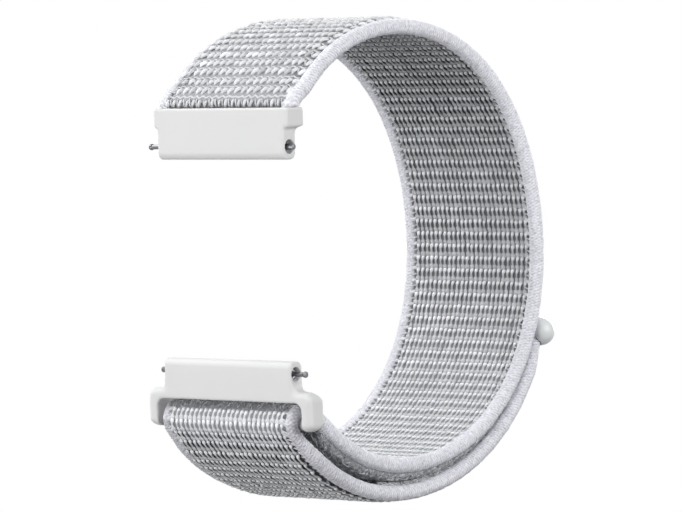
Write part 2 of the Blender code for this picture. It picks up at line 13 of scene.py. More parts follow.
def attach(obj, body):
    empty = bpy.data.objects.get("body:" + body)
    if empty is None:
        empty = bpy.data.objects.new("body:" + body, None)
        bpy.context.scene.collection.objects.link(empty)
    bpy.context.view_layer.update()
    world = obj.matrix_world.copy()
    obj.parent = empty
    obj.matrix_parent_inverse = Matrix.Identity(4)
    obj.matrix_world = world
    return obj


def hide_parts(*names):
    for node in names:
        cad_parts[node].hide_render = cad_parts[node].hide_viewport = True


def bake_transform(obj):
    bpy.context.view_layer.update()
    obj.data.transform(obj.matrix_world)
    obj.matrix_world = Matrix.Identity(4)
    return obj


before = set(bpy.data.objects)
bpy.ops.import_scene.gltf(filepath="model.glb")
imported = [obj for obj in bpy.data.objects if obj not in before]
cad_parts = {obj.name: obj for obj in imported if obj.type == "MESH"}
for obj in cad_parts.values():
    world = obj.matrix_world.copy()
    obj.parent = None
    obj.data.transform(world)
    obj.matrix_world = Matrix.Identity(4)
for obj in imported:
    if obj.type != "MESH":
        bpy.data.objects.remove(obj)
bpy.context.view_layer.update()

bl_info = {
    "name": "Nylon Watch Strap",
    "version": (1, 0, 0),
    "blender": (4, 5, 0),
    "location": "View3D > Sidebar > Strap",
    "description": "Builds the woven, moulded and turned pieces of a nylon watch strap",
    "category": "Object",
}

MM = 0.001

# Sizes repeated from the part's source, which this script can't read. A few differ for the looks:
# the front leans less, the band is wider in the pocket, and the near roll is the thicker one.
NECK_HALF = 9.9 * MM
BAR_HEIGHT = 13.54 * MM
BORE_RADIUS = 0.85 * MM
NECK_HALF_THICKNESS = 1.15 * MM
NECK_END, FRONT_LEAN = 1.6 * MM, 0.1 * MM
SHELL_FRONT, SHELL_BACK, SHELL_MIDDLE = -0.65 * MM, 2.05 * MM, 0.7 * MM
UPPER_STEP, UPPER_TOP = 15.84 * MM, 18.29 * MM
UPPER_SHELL_HALF = 10.5 * MM
POCKET_HALF, POCKET_HALF_DEPTH = 10.25 * MM, 0.8 * MM
POCKET_DEPTH, POCKET_PLAY = 2.2 * MM, 0.15 * MM
LOWER_STEP, SLOT_TOP = 15.69 * MM, 16.94 * MM
LOWER_SHELL_HALF, SLOT_HALF = 12.8 * MM, 11.3 * MM
LOOP_BAR = np.array((1.2, -19.6)) * MM
LOOP_BAR_RADIUS = 0.75 * MM
WALL_BOTTOM = -20.6 * MM
UPPER_BAR_SHIFT, LOWER_BAR_SHIFT = -0.4 * MM, -0.1 * MM
TUBE_HALF, TUBE_RADIUS, TUBE_WALL, TUBE_LIP = 9.4 * MM, 0.75 * MM, 0.2 * MM, 0.3 * MM
LIP_HOLE_RADIUS = 0.4 * MM
LEVER_PLACE, TIP_TRAVEL = 7.0 * MM, 1.3 * MM
BAND_HALF = 10.8 * MM
POCKET_SQUEEZE, FOLD_SQUEEZE, TAB_SQUEEZE, FOLD_SHIFT = 1.25 * MM, 0.8 * MM, 1.6 * MM, -0.3 * MM
SQUEEZE_LENGTH, MOUTH_SQUEEZE_LENGTH, MOUTH_SQUEEZE_BEFORE = 5.0 * MM, 0.3 * MM, 0.12 * MM
ROLL_RADIUS, ROLL_SQUEEZED_RADIUS, ROLL_GAP = 0.8 * MM, 0.65 * MM, 0.1 * MM
PROUD_FACE, SUNKEN_FACE, SQUEEZED_FACE, HOOK_SIDE_FACE = 1.15 * MM, 0.45 * MM, 0.6 * MM, 0.12 * MM
CREST_FACE = 0.94 * MM
PAD_SHIFT, ROLL_DIFFERENCE = -0.15 * MM, 0.1 * MM
PATCH_HALF, PATCH_THICKNESS = 8.0 * MM, 0.25 * MM
RING_RADIUS, RING_RISE, FOLD_APPROACH, MOUTH_BEND_RISE = 26.8 * MM, 0.5 * MM, 3.4 * MM, 1.8 * MM
RING_LOBES = ((2, 0.57 * MM, radians(-64)), (3, 0.24 * MM, radians(4)), (4, 0.32 * MM, radians(-41)))
FOLD_RADIUS = 1.65 * MM
FOLD_FROM, FOLD_HALF_WAY, FOLD_TO = radians(80), radians(180), radians(221.5)
TAIL_START_AFTER, TAIL_SPLIT, TAB_ANGLE = radians(3.5), radians(-80), radians(-25)
TAIL_GAP, TAIL_GAP_GROWTH = 2.04 * MM, 2.0 * MM
TAIL_LIFT, TAIL_LIFT_LENGTH = 0.5 * MM, radians(14)
TAB_RADIUS, TAB_HALF, TAB_OFFSET, TAB_FLAT, TAB_GRIP = 1.8 * MM, 11.3 * MM, 0.5 * MM, 1.65 * MM, 0.6 * MM
HANDLE_SHARE = 0.36

FOLD_START_DROP = asin((RING_RISE - LOOP_BAR[1]) / RING_RADIUS)
FOLD_START = FOLD_START_DROP - pi
TOP_END = pi - asin((UPPER_TOP + MOUTH_BEND_RISE - RING_RISE) / RING_RADIUS)
TAIL_START = FOLD_START + TAIL_START_AFTER
RING_CENTRE = np.array((LOOP_BAR[0] + FOLD_APPROACH + RING_RADIUS * cos(FOLD_START_DROP), RING_RISE))

# Angles round the ring: where the tail's own pieces start; where the fleece under the tail starts
# and ends; and the ring's top, side and low part, between which the ribbed face is filled more
# and painted lighter, from painted shade at the top to painted light low down
TAIL_PIECE_FROM = radians(-104)
RING_MARKS = (TAB_ANGLE - radians(9), FOLD_START + radians(0.5), radians(60), radians(12), radians(-50))
# The crest, pressed flat, from the fold's start; its rise before it and its fall at its end
CREST_PLACES = -0.4 * MM, 1.7 * MM
CREST_RISE_FROM, CREST_RISE_TO, CREST_FALL = -1.2 * MM, 0.3 * MM, -0.9 * MM
# Past the crest the ribbed face is filled less again and painted lighter; before and after the
# fold the rolls get painted shade
PAST_CREST_FROM, PAST_CREST_BY = 1.5 * MM, 4 * MM
FOLD_SHADE_FROM, FOLD_SHADE_TO, FOLD_SHADE_GONE = -3 * MM, 9 * MM, 17 * MM
# Steps at which the line is kept, and how far to each side of its split the tail bends
LINE_STEP, SPLIT_HALF = 0.05 * MM, 2.0 * MM
# The pitch in mm that the widths of the rib yarns are given for
RIB_PITCH = 0.73


def linear(code, alpha=1.0):
    """A colour written as sRGB hex, turned to the linear values that shaders take."""
    shares = np.array([int(code[i : i + 2], 16) / 255 for i in (1, 3, 5)])
    values = np.where(shares <= 0.04045, shares / 12.92, ((shares + 0.055) / 1.055) ** 2.4)
    return (*(float(v) for v in values), alpha)


def colour_setting(name, description, code):
    return bpy.props.FloatVectorProperty(
        name=name, description=description, default=linear(code), size=4, min=0, max=1,
        subtype="COLOR",
    )


def length_setting(name, description, millimetres):
    return bpy.props.FloatProperty(
        name=name, description=description, default=millimetres * MM, min=0.01 * MM,
        unit="LENGTH", precision=5,
    )


class StrapWeave(bpy.types.PropertyGroup):
    """Sizes of the weave."""

    row_pitch: length_setting("Row pitch", "From one row of the weave to the next", 1.6)
    rib_pitch: length_setting("Rib yarn pitch", "Between two yarns on the wrist face", RIB_PITCH)
    loop_pitch: length_setting("Loop pitch", "Between two loops on the outer face", 1.05)
    loop_width: length_setting("Loop width", "Width of a loop on the outer face", 0.54)
    roll_pitch: length_setting("Edge yarn pitch", "Between two yarns round a rolled edge", 0.40)


class StrapColours(bpy.types.PropertyGroup):
    """Colours of the strap's finishes."""

    rib: colour_setting("Rib yarn", "Yarn on the wrist face", "#E2E3E6")
    weft: colour_setting("Weft cord", "Cords between the rows of loops", "#DDDEE1")
    loop: colour_setting("Loop yarn", "Yarn loops on the outer face", "#F2F3F5")
    # Painted shade: the dark grey stands in for the shade in the gaps between the white rib yarns
    ground: colour_setting("Ground weave", "Weave that shows between the rib yarns", "#6C6D71")
    # Painted shade: grey for the shade between the loops and in the fleece under the tail
    backing: colour_setting("Knitted backing", "Weave that shows between the loops", "#A6A7AB")
    roll: colour_setting("Rolled edge", "Yarn round the rolled edges", "#F1F1F8")
    plastic: colour_setting("Moulded ends", "Plastic of the two connectors", "#EBEBEB")
    tab: colour_setting("End tab", "Glossy plastic of the end tab", "#EEF1F1")
    # Painted reflection: darker than bare steel, for the dark surroundings the tips, levers and coils would
    # reflect
    steel: colour_setting("Spring bars", "Turned steel", "#77787B")
    tube: colour_setting("Spring bar tubes", "Drawn steel, brighter than the tips", "#C6C7CA")
    # Painted shade: grey for the shade in the lower connector's slot over the fold
    felt: colour_setting("Pressed weave", "Weave pressed flat over the fold", "#838488")
    hook: colour_setting("Hook tape", "Nylon hooks on the tail", "#D5D6D9")


class StrapStage(bpy.types.PropertyGroup):
    """The studio."""

    level: bpy.props.FloatProperty(
        name="Lamp level", description="Share of the lamps' full power", default=1.0, min=0, max=4,
        subtype="FACTOR")
    floor_drop: length_setting("Floor depth", "Depth of the floor below the origin", 86)


# ---- The band's line ----


def left_of(heading):
    return np.stack((-heading[..., 1], heading[..., 0]), -1)


def smooth_step(share):
    share = np.clip(share, 0, 1)
    return share * share * (3 - 2 * share)


def stacked(*values):
    """Arrays spread to one shape and stacked on a new last axis."""
    return np.stack(np.broadcast_arrays(*values), -1)


def full_turn(sides):
    return tau * np.arange(sides) / sides


def ring_points(angle, gap=0.0):
    """Points and headings on the ring: the mean radius plus a cosine wave for each set of lobes.

    The ring is followed with the angle falling; a gap moves the line outwards.
    """
    radius = RING_RADIUS + sum(high * np.cos(n * (angle - lean)) for n, high, lean in RING_LOBES)
    slope = -sum(n * high * np.sin(n * (angle - lean)) for n, high, lean in RING_LOBES)
    out = np.stack((np.cos(angle), np.sin(angle)), -1)
    along = np.stack((-np.sin(angle), np.cos(angle)), -1)
    heading = -(slope[..., None] * out + radius[..., None] * along)
    heading /= np.linalg.norm(heading, axis=-1, keepdims=True)
    return RING_CENTRE + radius[..., None] * out + np.asarray(gap)[..., None] * left_of(heading), heading


def tail_gap(angle):
    """How far the tail's line lies outside the main line: least just before the end tab."""
    share = (TAB_ANGLE - angle) / (TAB_ANGLE - TAIL_START)
    lift = smooth_step(1 - (TAB_ANGLE - angle) / TAIL_LIFT_LENGTH)
    return TAIL_GAP + TAIL_GAP_GROWTH * share + TAIL_LIFT * lift


def bend(start, start_heading, end, end_heading):
    """A cubic curve from one point and heading to another."""
    reach = HANDLE_SHARE * np.linalg.norm(end - start)
    near, far = start + reach * start_heading, end - reach * end_heading
    t = np.linspace(0, 1, 80)[:, None]
    return (1 - t) ** 3 * start + 3 * (1 - t) ** 2 * t * near + 3 * (1 - t) * t**2 * far + t**3 * end


def fold_points(turn):
    out = np.stack((np.cos(turn), np.sin(turn)), -1)
    return LOOP_BAR + FOLD_RADIUS * out, left_of(out)


def eased(at, places, values):
    """Values held between places, passing from each to the next by a smooth step."""
    places, values = np.asarray(places), np.asarray(values)
    i = np.clip(np.searchsorted(places, at, side="right") - 1, 0, len(places) - 2)
    share = smooth_step((at - places[i]) / (places[i + 1] - places[i]))
    return values[i] + (values[i + 1] - values[i]) * share


class Band:
    """The whole band laid out by the distance s along its middle line.

    s starts inside the upper pocket, passes round the ring, over the loop bar and back along
    the outside to the end tab. x lies across the band and h stands off its line: positive
    towards the loop face, negative towards the ribbed face.
    """

    def __init__(self):
        mouth = np.array((SHELL_MIDDLE, UPPER_TOP))
        foot = mouth - np.array((0, POCKET_DEPTH - POCKET_PLAY))
        ring_angles = np.linspace(TOP_END, FOLD_START, 1400)
        ring, ring_heading = ring_points(ring_angles)
        fold, fold_heading = fold_points(np.linspace(FOLD_FROM, FOLD_TO, 120))
        angles = np.linspace(TAIL_START, TAB_ANGLE + TAB_GRIP / (RING_RADIUS + TAIL_GAP), 700)
        tail = ring_points(angles, tail_gap(angles))[0]
        tail_heading = (tail[1] - tail[0]) / np.linalg.norm(tail[1] - tail[0])
        runs = (
            np.linspace(foot, mouth, 40),
            bend(mouth, np.array((0, 1)), ring[0], ring_heading[0]),
            ring,
            bend(ring[-1], ring_heading[-1], fold[0], fold_heading[0]),
            fold,
            bend(fold[-1], fold_heading[-1], tail[0], tail_heading),
            tail,
        )
        line = np.concatenate([runs[0]] + [run[1:] for run in runs[1:]])
        lengths = np.concatenate(([0], np.cumsum(np.linalg.norm(np.diff(line, axis=0), axis=1))))
        starts = np.cumsum([len(runs[0]) - 1] + [len(run) - 1 for run in runs[1:]])
        self.mouth, _, _, self.fold_start, self.fold_end, _, self.end = lengths[starts]
        half_way = (FOLD_HALF_WAY - FOLD_FROM) / (FOLD_TO - FOLD_FROM)
        self.fold_half = self.fold_start + (self.fold_end - self.fold_start) * half_way
        tail_lengths = lengths[starts[5] :]
        self.split = float(np.interp(TAIL_SPLIT, angles, tail_lengths))
        self.tail_piece = float(np.interp(TAIL_PIECE_FROM, angles, tail_lengths))
        self.tab_start = self.end - TAB_GRIP - TAB_RADIUS
        ring_lengths = lengths[starts[1] : starts[2] + 1]
        self.under_start, self.under_end, self.top, self.side, self.low = (
            float(np.interp(-angle, -ring_angles, ring_lengths)) for angle in RING_MARKS)
        self.crest_start, self.crest_end = (self.fold_start + place for place in CREST_PLACES)
        self.s = np.linspace(0, self.end, int(self.end / LINE_STEP))
        self.line = np.stack([np.interp(self.s, lengths, line[:, k]) for k in (0, 1)], -1)
        heading = np.gradient(self.line, axis=0)
        heading /= np.linalg.norm(heading, axis=1)[:, None]
        self.normal = left_of(heading)

    def squeezes(self, s):
        pocket = 1 - smooth_step((s - self.mouth + MOUTH_SQUEEZE_BEFORE) / MOUTH_SQUEEZE_LENGTH)
        before, after = self.fold_start - s, s - self.fold_end
        fold = 1 - smooth_step(np.maximum(before, after) / SQUEEZE_LENGTH)
        tab = 1 - smooth_step((self.end - s - TAB_RADIUS) / SQUEEZE_LENGTH)
        return pocket, fold, tab

    def centre(self, s):
        return FOLD_SHIFT * self.squeezes(s)[1]

    def half(self, s):
        pocket, fold, tab = self.squeezes(s)
        return BAND_HALF - (pocket * POCKET_SQUEEZE + fold * FOLD_SQUEEZE + tab * TAB_SQUEEZE) / 2

    def roll(self, s):
        fold, tab = self.squeezes(s)[1:]
        return ROLL_RADIUS + (ROLL_SQUEEZED_RADIUS - ROLL_RADIUS) * np.maximum(fold, tab)

    def half_pad(self, s):
        return self.half(s) - 2 * self.roll(s) - ROLL_GAP

    def rib_face(self, s):
        places = (0, self.crest_start + CREST_RISE_FROM, self.crest_start + CREST_RISE_TO,
                  self.crest_end + CREST_FALL, self.crest_end, self.fold_end,
                  self.fold_end + SQUEEZE_LENGTH, self.tab_start - SQUEEZE_LENGTH, self.tab_start)
        return eased(s, places, (SUNKEN_FACE, SUNKEN_FACE, CREST_FACE, CREST_FACE, SQUEEZED_FACE,
                                 SQUEEZED_FACE, PROUD_FACE, PROUD_FACE, SQUEEZED_FACE))

    def fill(self, s):
        """How full the gaps of the ribbed face are, and how much painted light it gets: least at the ring's
        top, where it gets painted shade, most by the crest.
        """
        places = (0, self.top, self.side, self.low, self.crest_start, self.crest_end,
                  self.crest_end + PAST_CREST_FROM, self.crest_end + PAST_CREST_BY, self.end)
        return eased(s, places, (-1, -1, 0, 1, 1, 1.4, 1.4, 0, 0))

    def painted_roll_shade(self, s):
        """How much painted shade darkens the rolls: fully round the fold and along the start of the tail."""
        places = (0, self.fold_start + FOLD_SHADE_FROM, self.fold_start, self.fold_end + FOLD_SHADE_TO,
                  self.fold_end + FOLD_SHADE_GONE, self.end)
        return eased(s, places, (0, 0, 1, 1, 0, 0))

    def loop_face(self, s):
        places = (0, POCKET_DEPTH, POCKET_DEPTH + SQUEEZE_LENGTH, self.fold_start - SQUEEZE_LENGTH,
                  self.fold_start, self.fold_end, self.split - SPLIT_HALF, self.split + SPLIT_HALF)
        return eased(s, places, (SQUEEZED_FACE, SQUEEZED_FACE, PROUD_FACE, PROUD_FACE,
                                 SQUEEZED_FACE, SUNKEN_FACE, SUNKEN_FACE, HOOK_SIDE_FACE))

    def place(self, points):
        """Band coordinates (s, x, h) turned to (x, y, z): the line's point plus h along its normal."""
        s, x, h = points[..., 0], points[..., 1], points[..., 2]
        over = s - np.clip(s, 0, self.end)
        line = [np.interp(s, self.s, self.line[:, k]) for k in (0, 1)]
        normal = [np.interp(s, self.s, self.normal[:, k]) for k in (0, 1)]
        heading = (normal[1], -normal[0])
        y, z = (line[k] + h * normal[k] + over * heading[k] for k in (0, 1))
        return stacked(x + self.centre(s), y, z)


BAND = Band()


# ---- Meshes ----


def enclosed(points, faces):
    """Six times the volume under faces of equal corner counts, each a fan of triangles."""
    first, rest = points[faces[:, :1]], points[faces[:, 1:]]
    return (first * np.cross(rest[:, :-1], rest[:, 1:])).sum()


def make_piece(name, points, faces, caps=None, uv=None, shade=None):
    """A smooth mesh at the origin; its faces are turned over if they enclose a negative volume.

    Faces are an array of four corner numbers each, and caps are one of as many as an end has.
    """
    quads, caps = np.asarray(faces), np.zeros((0, 3), int) if caps is None else caps
    if enclosed(points, quads) + enclosed(points, caps) < 0:
        quads, caps = quads[:, ::-1], caps[:, ::-1]
        uv = None if uv is None else uv[:, ::-1]
    mesh = bpy.data.meshes.new(name)
    counts = np.concatenate((np.full(len(quads), 4), np.full(len(caps), caps.shape[1])))
    mesh.vertices.add(len(points))
    mesh.vertices.foreach_set("co", points.astype(np.float32).ravel())
    mesh.loops.add(int(counts.sum()))
    corners = np.concatenate((quads.ravel(), caps.ravel()))
    mesh.loops.foreach_set("vertex_index", corners.astype(np.int32))
    starts = np.concatenate(([0], np.cumsum(counts)[:-1]))
    mesh.polygons.add(len(counts))
    mesh.polygons.foreach_set("loop_start", starts.astype(np.int32))
    if uv is not None:
        layer = mesh.uv_layers.new(name="yarn")
        places = np.concatenate((uv.reshape(-1, 2), np.zeros((caps.size, 2))))
        layer.data.foreach_set("uv", places.astype(np.float32).ravel())
    if shade is not None:
        layer = mesh.attributes.new("shade", "FLOAT", "POINT")
        layer.data.foreach_set("value", shade.astype(np.float32))
    mesh.update(calc_edges=True)
    mesh.validate()
    mesh.shade_smooth()
    made = bpy.data.objects.new(name, mesh)
    bpy.context.scene.collection.objects.link(made)
    return made


def yarns(path, across, thick, sides=6, shade=None):
    """Closed yarn pieces: an oval ring carried along each path, in band coordinates.

    path is (pieces, stations, 3); across and thick are half sizes in the band's face and off
    it. A ring point is the path's point plus across times the cosine and thick times the sine
    of its turn. Gives points, faces, caps, texture places and shades for make_piece.
    """
    count, stations = path.shape[:2]
    along = np.gradient(path, axis=1)
    along /= np.linalg.norm(along, axis=-1, keepdims=True)
    flat = np.cross(along, (0, 0, 1))
    flat /= np.linalg.norm(flat, axis=-1, keepdims=True)
    lift = np.cross(flat, along)
    turn = pi / 2 + full_turn(sides)
    across = np.broadcast_to(across, path.shape[:2])[..., None, None]
    thick = np.broadcast_to(thick, path.shape[:2])[..., None, None]
    points = (path[:, :, None] + across * np.cos(turn)[:, None] * flat[:, :, None]
              + thick * np.sin(turn)[:, None] * lift[:, :, None])
    base = (np.arange(count) * stations * sides)[:, None, None]
    row = (np.arange(stations - 1) * sides)[None, :, None]
    i = np.arange(sides)[None, None]
    j = (i + 1) % sides
    faces = stacked(base + row + i, base + row + j, base + row + sides + j, base + row + sides + i)
    first = base[:, 0] + np.arange(sides)[::-1]
    last = base[:, 0] + (stations - 1) * sides + np.arange(sides)
    run = np.cumsum(np.linalg.norm(np.diff(path, axis=1, prepend=path[:, :1]), axis=-1), axis=1) / MM
    round_it = tau * np.sqrt(across[..., 0, 0] * thick[..., 0, 0]) / MM
    u0, u1 = run[:, :-1, None], run[:, 1:, None]
    v0, v1 = ((i + k) / sides * round_it[:, :-1, None] for k in (0, 1))
    round_face = ((u0, v0), (u0, v1), (u1, v1), (u1, v0))
    uv = np.stack([stacked(u, v) for u, v in round_face], -2)
    tone = np.broadcast_to(0.0 if shade is None else shade, (count, stations))
    return (points.reshape(-1, 3), faces.reshape(-1, 4), np.concatenate((first, last)),
            uv.reshape(-1, 4, 2), np.repeat(tone.ravel(), sides))


def joined(*groups):
    """Several groups of yarn pieces as one, with their corner numbers shifted."""
    points, faces, caps, uvs, shades = zip(*groups)
    shifts = np.cumsum([0] + [len(each) for each in points[:-1]])
    faces, caps = ([each + shift for each, shift in zip(kind, shifts)] for kind in (faces, caps))
    return tuple(np.concatenate(each) for each in (points, faces, caps, uvs, shades))


def pairs(first, second):
    """Every pair of two rows of values, as two columns."""
    return (grid.ravel()[:, None] for grid in np.meshgrid(first, second, indexing="ij"))


def strays(seed, count):
    """A function that draws normal strays of a given size, count of them at each call."""
    rng = np.random.default_rng(seed)
    return lambda size: size * rng.standard_normal(count)


def oval(u):
    """Half height of an oval from -1 to 1, as a share of its greatest."""
    return np.sqrt(1 - u**2)


def woven_piece(name, group):
    points, faces, caps, uv, shade = group
    return make_piece(name, BAND.place(points + (0, PAD_SHIFT, 0)), faces, caps, uv, shade)


# ---- Weave ----

# Rows: the first past the mouth, and the closer ones over the crest as shares of the row pitch
FIRST_ROW, CREST_ROW_BEFORE = 0.35 * MM, -0.1 * MM
CREST_ROWS, CREST_ROW_SHARE, ROW_BEFORE_SHARE, ROW_AFTER_SHARE = 3, 0.74, 0.5, 0.9


def band_rows(pitch):
    """Places of all the rows, with a few closer ones below the fold's crest, where it stretches."""
    folded = BAND.crest_end + CREST_ROW_BEFORE + CREST_ROW_SHARE * pitch * np.arange(CREST_ROWS)
    before = np.arange(BAND.mouth + FIRST_ROW, BAND.crest_end - ROW_BEFORE_SHARE * pitch, pitch)
    return np.concatenate((before, folded, np.arange(folded[-1] + ROW_AFTER_SHARE * pitch, BAND.end, pitch)))


def rows_between(start, end, pitch):
    rows = band_rows(pitch)
    return rows[(rows >= start) & (rows < end)]


def shares_across(pitch, margin):
    """Even places across the pad, as shares of its half width."""
    pad = BAND_HALF - 2 * ROLL_RADIUS - ROLL_GAP
    full = pad - margin
    count = int(round(2 * full / pitch))
    return np.linspace(-1, 1, count + 1) * full / pad


# Heights of the two faces at the pad's edge, and the shoulder that leads down to it
RIB_EDGE, LOOP_EDGE = 0.45 * MM, 0.9 * MM
SHOULDER_FROM, SHOULDER_LENGTH = -0.6 * MM, 0.8 * MM


def crown(s, x, face, edge=RIB_EDGE):
    """The face's height, lower towards the pad's edge, by a smooth step over the shoulder."""
    share = smooth_step((np.abs(x) - (BAND.half_pad(s) + SHOULDER_FROM)) / SHOULDER_LENGTH)
    return face + (np.minimum(edge, face) - face) * share


# Stations of a rib yarn along one row: share of the row, depth, sideways run, half width and
# half thickness in mm, and shade. Its head stands up and catches the light, then the yarn
# narrows beside dark gaps, and widens until it meets its neighbours and tucks under the next row.
# The shade paints a highlight on the head and painted shade along the narrow part and where it
# tucks under.
RIB_STATIONS = np.array((
    (-0.06, 0.36, 0.12, 0.17, 0.09, -3.0),
    (0.03, 0.09, 0.10, 0.26, 0.12, 3.0),
    (0.13, 0.00, 0.04, 0.31, 0.15, 5.5),
    (0.25, 0.07, -0.03, 0.21, 0.12, 0.0),
    (0.40, 0.14, -0.04, 0.17, 0.10, -6.5),
    (0.60, 0.15, -0.02, 0.19, 0.10, -8.0),
    (0.70, 0.11, 0.01, 0.39, 0.10, -5.5),
    (1.00, 0.20, 0.03, 0.39, 0.09, -3.5),
))
RIB_MARGIN, RIB_PROUD = 0.42 * MM, 0.06 * MM
# Strays along, across and off the face, and as a share of the width
RIB_STRAY_S, RIB_STRAY_X, RIB_STRAY_H, RIB_STRAY_WIDTH = 0.03 * MM, 0.025 * MM, 0.02 * MM, 0.08
# The pressed crest flattens a yarn by half, evens its painted highlights and shades and adds a
# little painted light; past it the yarns are painted lighter, with stronger painted highlights and
# shades, and all are painted lighter where the gaps are fuller and darker at the ring's top
WORN_DEPTH, WORN_SHADE, WORN_PAINTED_LIGHT = 0.5, 0.3, 0.5
PAST_CREST_SHADE, PAST_CREST_PAINTED_LIGHT, FILL_PAINTED_LIGHT = 0.5, 3.5, 4.2


def rib_yarns(rows, weave, seed):
    """Yarns of the ribbed face: the stations above, placed on each row and column.

    A yarn is as long as the distance to the next row. Past the fold the face is flatter, and its painted
    highlights and shades are evened and painted lighter.
    """
    share, depth, run, wide, thick, shade = RIB_STATIONS.T
    columns = shares_across(weave.rib_pitch, RIB_MARGIN)
    places = band_rows(weave.row_pitch)
    lengths = np.diff(places, append=places[-1] + weave.row_pitch)[np.searchsorted(places, rows)]
    reach = np.repeat(lengths, len(columns))[:, None]
    s0, column = pairs(rows, columns)
    stray = strays(seed, (len(s0), 1))
    s = s0 + reach * share + stray(RIB_STRAY_S)
    x = column * BAND.half_pad(s0) + run * MM + stray(RIB_STRAY_X)
    across = wide * weave.rib_pitch / RIB_PITCH * (1 + stray(RIB_STRAY_WIDTH))
    top = crown(s, x, BAND.rib_face(s)) + RIB_PROUD + stray(RIB_STRAY_H)
    past_crest_start = s0 > BAND.crest_start
    h = -(top - (thick + depth * (1 - WORN_DEPTH * past_crest_start)) * MM)
    # Painted light: past the crest the yarns are painted lighter, and with the fill lighter low down and
    # darker at the ring's top
    past_crest_end = past_crest_start * smooth_step((s0 - BAND.crest_end - PAST_CREST_FROM) / (PAST_CREST_BY - PAST_CREST_FROM))
    tone = shade * (1 - WORN_SHADE * past_crest_start + PAST_CREST_SHADE * past_crest_end) + WORN_PAINTED_LIGHT * past_crest_start + PAST_CREST_PAINTED_LIGHT * past_crest_end
    tone = tone + FILL_PAINTED_LIGHT * BAND.fill(s0) + stray(1)
    return yarns(stacked(s, x, h), across, thick * MM, 5, tone)


# The pressed strip: how far it stays from the band's edge, sinks at its ends and is rough, and
# the power by which it rounds off towards its sides
CREST_INSET, CREST_SINK, CREST_ROUGHNESS = 0.1 * MM, 0.35 * MM, 0.06 * MM
CREST_ROUNDNESS = 14
FELT_TONE, ROUGH_SEED = 3.0, 5


def crest_surface():
    """Points (s, x, h) of the strip pressed flat over the fold's crest, sunk at both ends."""
    s = np.linspace(BAND.crest_start, BAND.crest_end, 24)[:, None]
    shares = np.sin(np.linspace(-0.47, 0.47, 121) * pi)
    ends = smooth_step(np.minimum(s - BAND.crest_start, BAND.crest_end - s) / CREST_SINK)
    height = (BAND.rib_face(s) - CREST_SINK * (1 - ends)) * (1 - np.abs(shares) ** CREST_ROUNDNESS) ** 0.5
    return stacked(s, shares * (BAND.half(s) - CREST_INSET), -height)


def crest_felt(name):
    """The pressed strip as a body with an uneven outside, closed along the band's line."""
    outer = crest_surface()
    inner = outer[:, ::-1] * (1, 1, 0)
    rough = np.random.default_rng(ROUGH_SEED).standard_normal(outer.shape[:2])
    outer[..., 2] -= CREST_ROUGHNESS * rough
    rings = BAND.place(np.concatenate((outer, inner), 1))
    shade = np.concatenate((FELT_TONE * rough, 0 * rough), 1).ravel()
    return make_piece(name, *closed_run(rings), shade=shade)


# The fleece under the tail: its greatest heights, its clearance from the tail, its two sides as
# seen from the pad's edge, its taper at both ends, and how rough it is
FLEECE_TOP, TAIL_FLEECE_TOP, LEAST_FLEECE = PROUD_FACE + 0.8 * MM, 1.3 * MM, 0.2 * MM
FLEECE_PLAY, TAIL_FLEECE_PLAY = 0.15 * MM, 0.05 * MM
FLEECE_BASE, TAIL_FLEECE_BASE = 0.4 * MM, 0.05 * MM
FLEECE_INNER, FLEECE_OUTER, FLEECE_TAPER = -3.0 * MM, 0.75 * MM, 1.5 * MM
FLEECE_STEP, FLEECE_ROUGHNESS, FLEECE_SEED = 0.12 * MM, 0.09 * MM, 91
FLEECE_SHARES = np.concatenate(((0, 0, 0.04), np.linspace(0.1, 0.9, 15), (0.96, 1.0, 1.0)))
FLEECE_SLOPE = np.interp(FLEECE_SHARES, (0, 0.04, 0.1, 0.7, 0.9, 1), (0.55, 0.85, 1, 1, 0.85, 0.55))
FLEECE_SLOPE[[0, -1]] = 0


def fleece_section(side, start, end, on_tail):
    """Sections of the loops that the hook tape pulls up along an edge, in the gap under the tail.

    On the main band the height is the gap between the two lines less the tail's inner half, held
    to just over the loops; on the tail it is what is left of the gap, held to the roll's height.
    It slopes down to the roll. Gives s, x and h by station.
    """
    s = np.linspace(start, end, int((end - start) / FLEECE_STEP))[:, None]
    line = [np.interp(s, BAND.s, BAND.line[:, k]) for k in (0, 1)]
    angle = np.unwrap(np.arctan2(line[1] - RING_CENTRE[1], line[0] - RING_CENTRE[0]), axis=0)
    angle -= tau * np.round((angle[-1] - TAIL_SPLIT) / tau)
    gap = tail_gap(angle)
    if on_tail:
        base = TAIL_FLEECE_BASE
        top = np.clip(gap - FLEECE_TOP - TAIL_FLEECE_PLAY, LEAST_FLEECE, TAIL_FLEECE_TOP)
    else:
        base = FLEECE_BASE
        top = np.minimum(gap - HOOK_SIDE_FACE - PATCH_THICKNESS - FLEECE_PLAY, FLEECE_TOP)
    inner, outer = BAND.half_pad(s) + FLEECE_INNER, BAND.half_pad(s) + FLEECE_OUTER
    taper = smooth_step(np.minimum(s - start, end - s) / FLEECE_TAPER)
    return stacked(s, side * (inner + (outer - inner) * FLEECE_SHARES),
                   base + (top - base) * FLEECE_SLOPE * taper)


def gap_fleece(name, side, *stretch):
    """The body of the pulled loops: their sections with an uneven surface."""
    rings = fleece_section(side, *stretch)
    rough = np.random.default_rng(FLEECE_SEED).standard_normal(rings.shape[:2])
    rings[:, 1:-1, 2] += FLEECE_ROUGHNESS * rough[:, 1:-1]
    return make_piece(name, *closed_run(BAND.place(rings)), shade=FELT_TONE * rough.ravel())


# Loose strands: how far they stray from their surface in mm, lean in radians, lift, and bow as a
# share of their half length
STRAND_STRAY, STRAND_LEAN, STRAND_LIFT, STRAND_BOW = 0.12, 1.2, 0.06 * MM, 0.4
STRAND_TONE, STRAND_TONE_STRAY = -2.0, 4.0


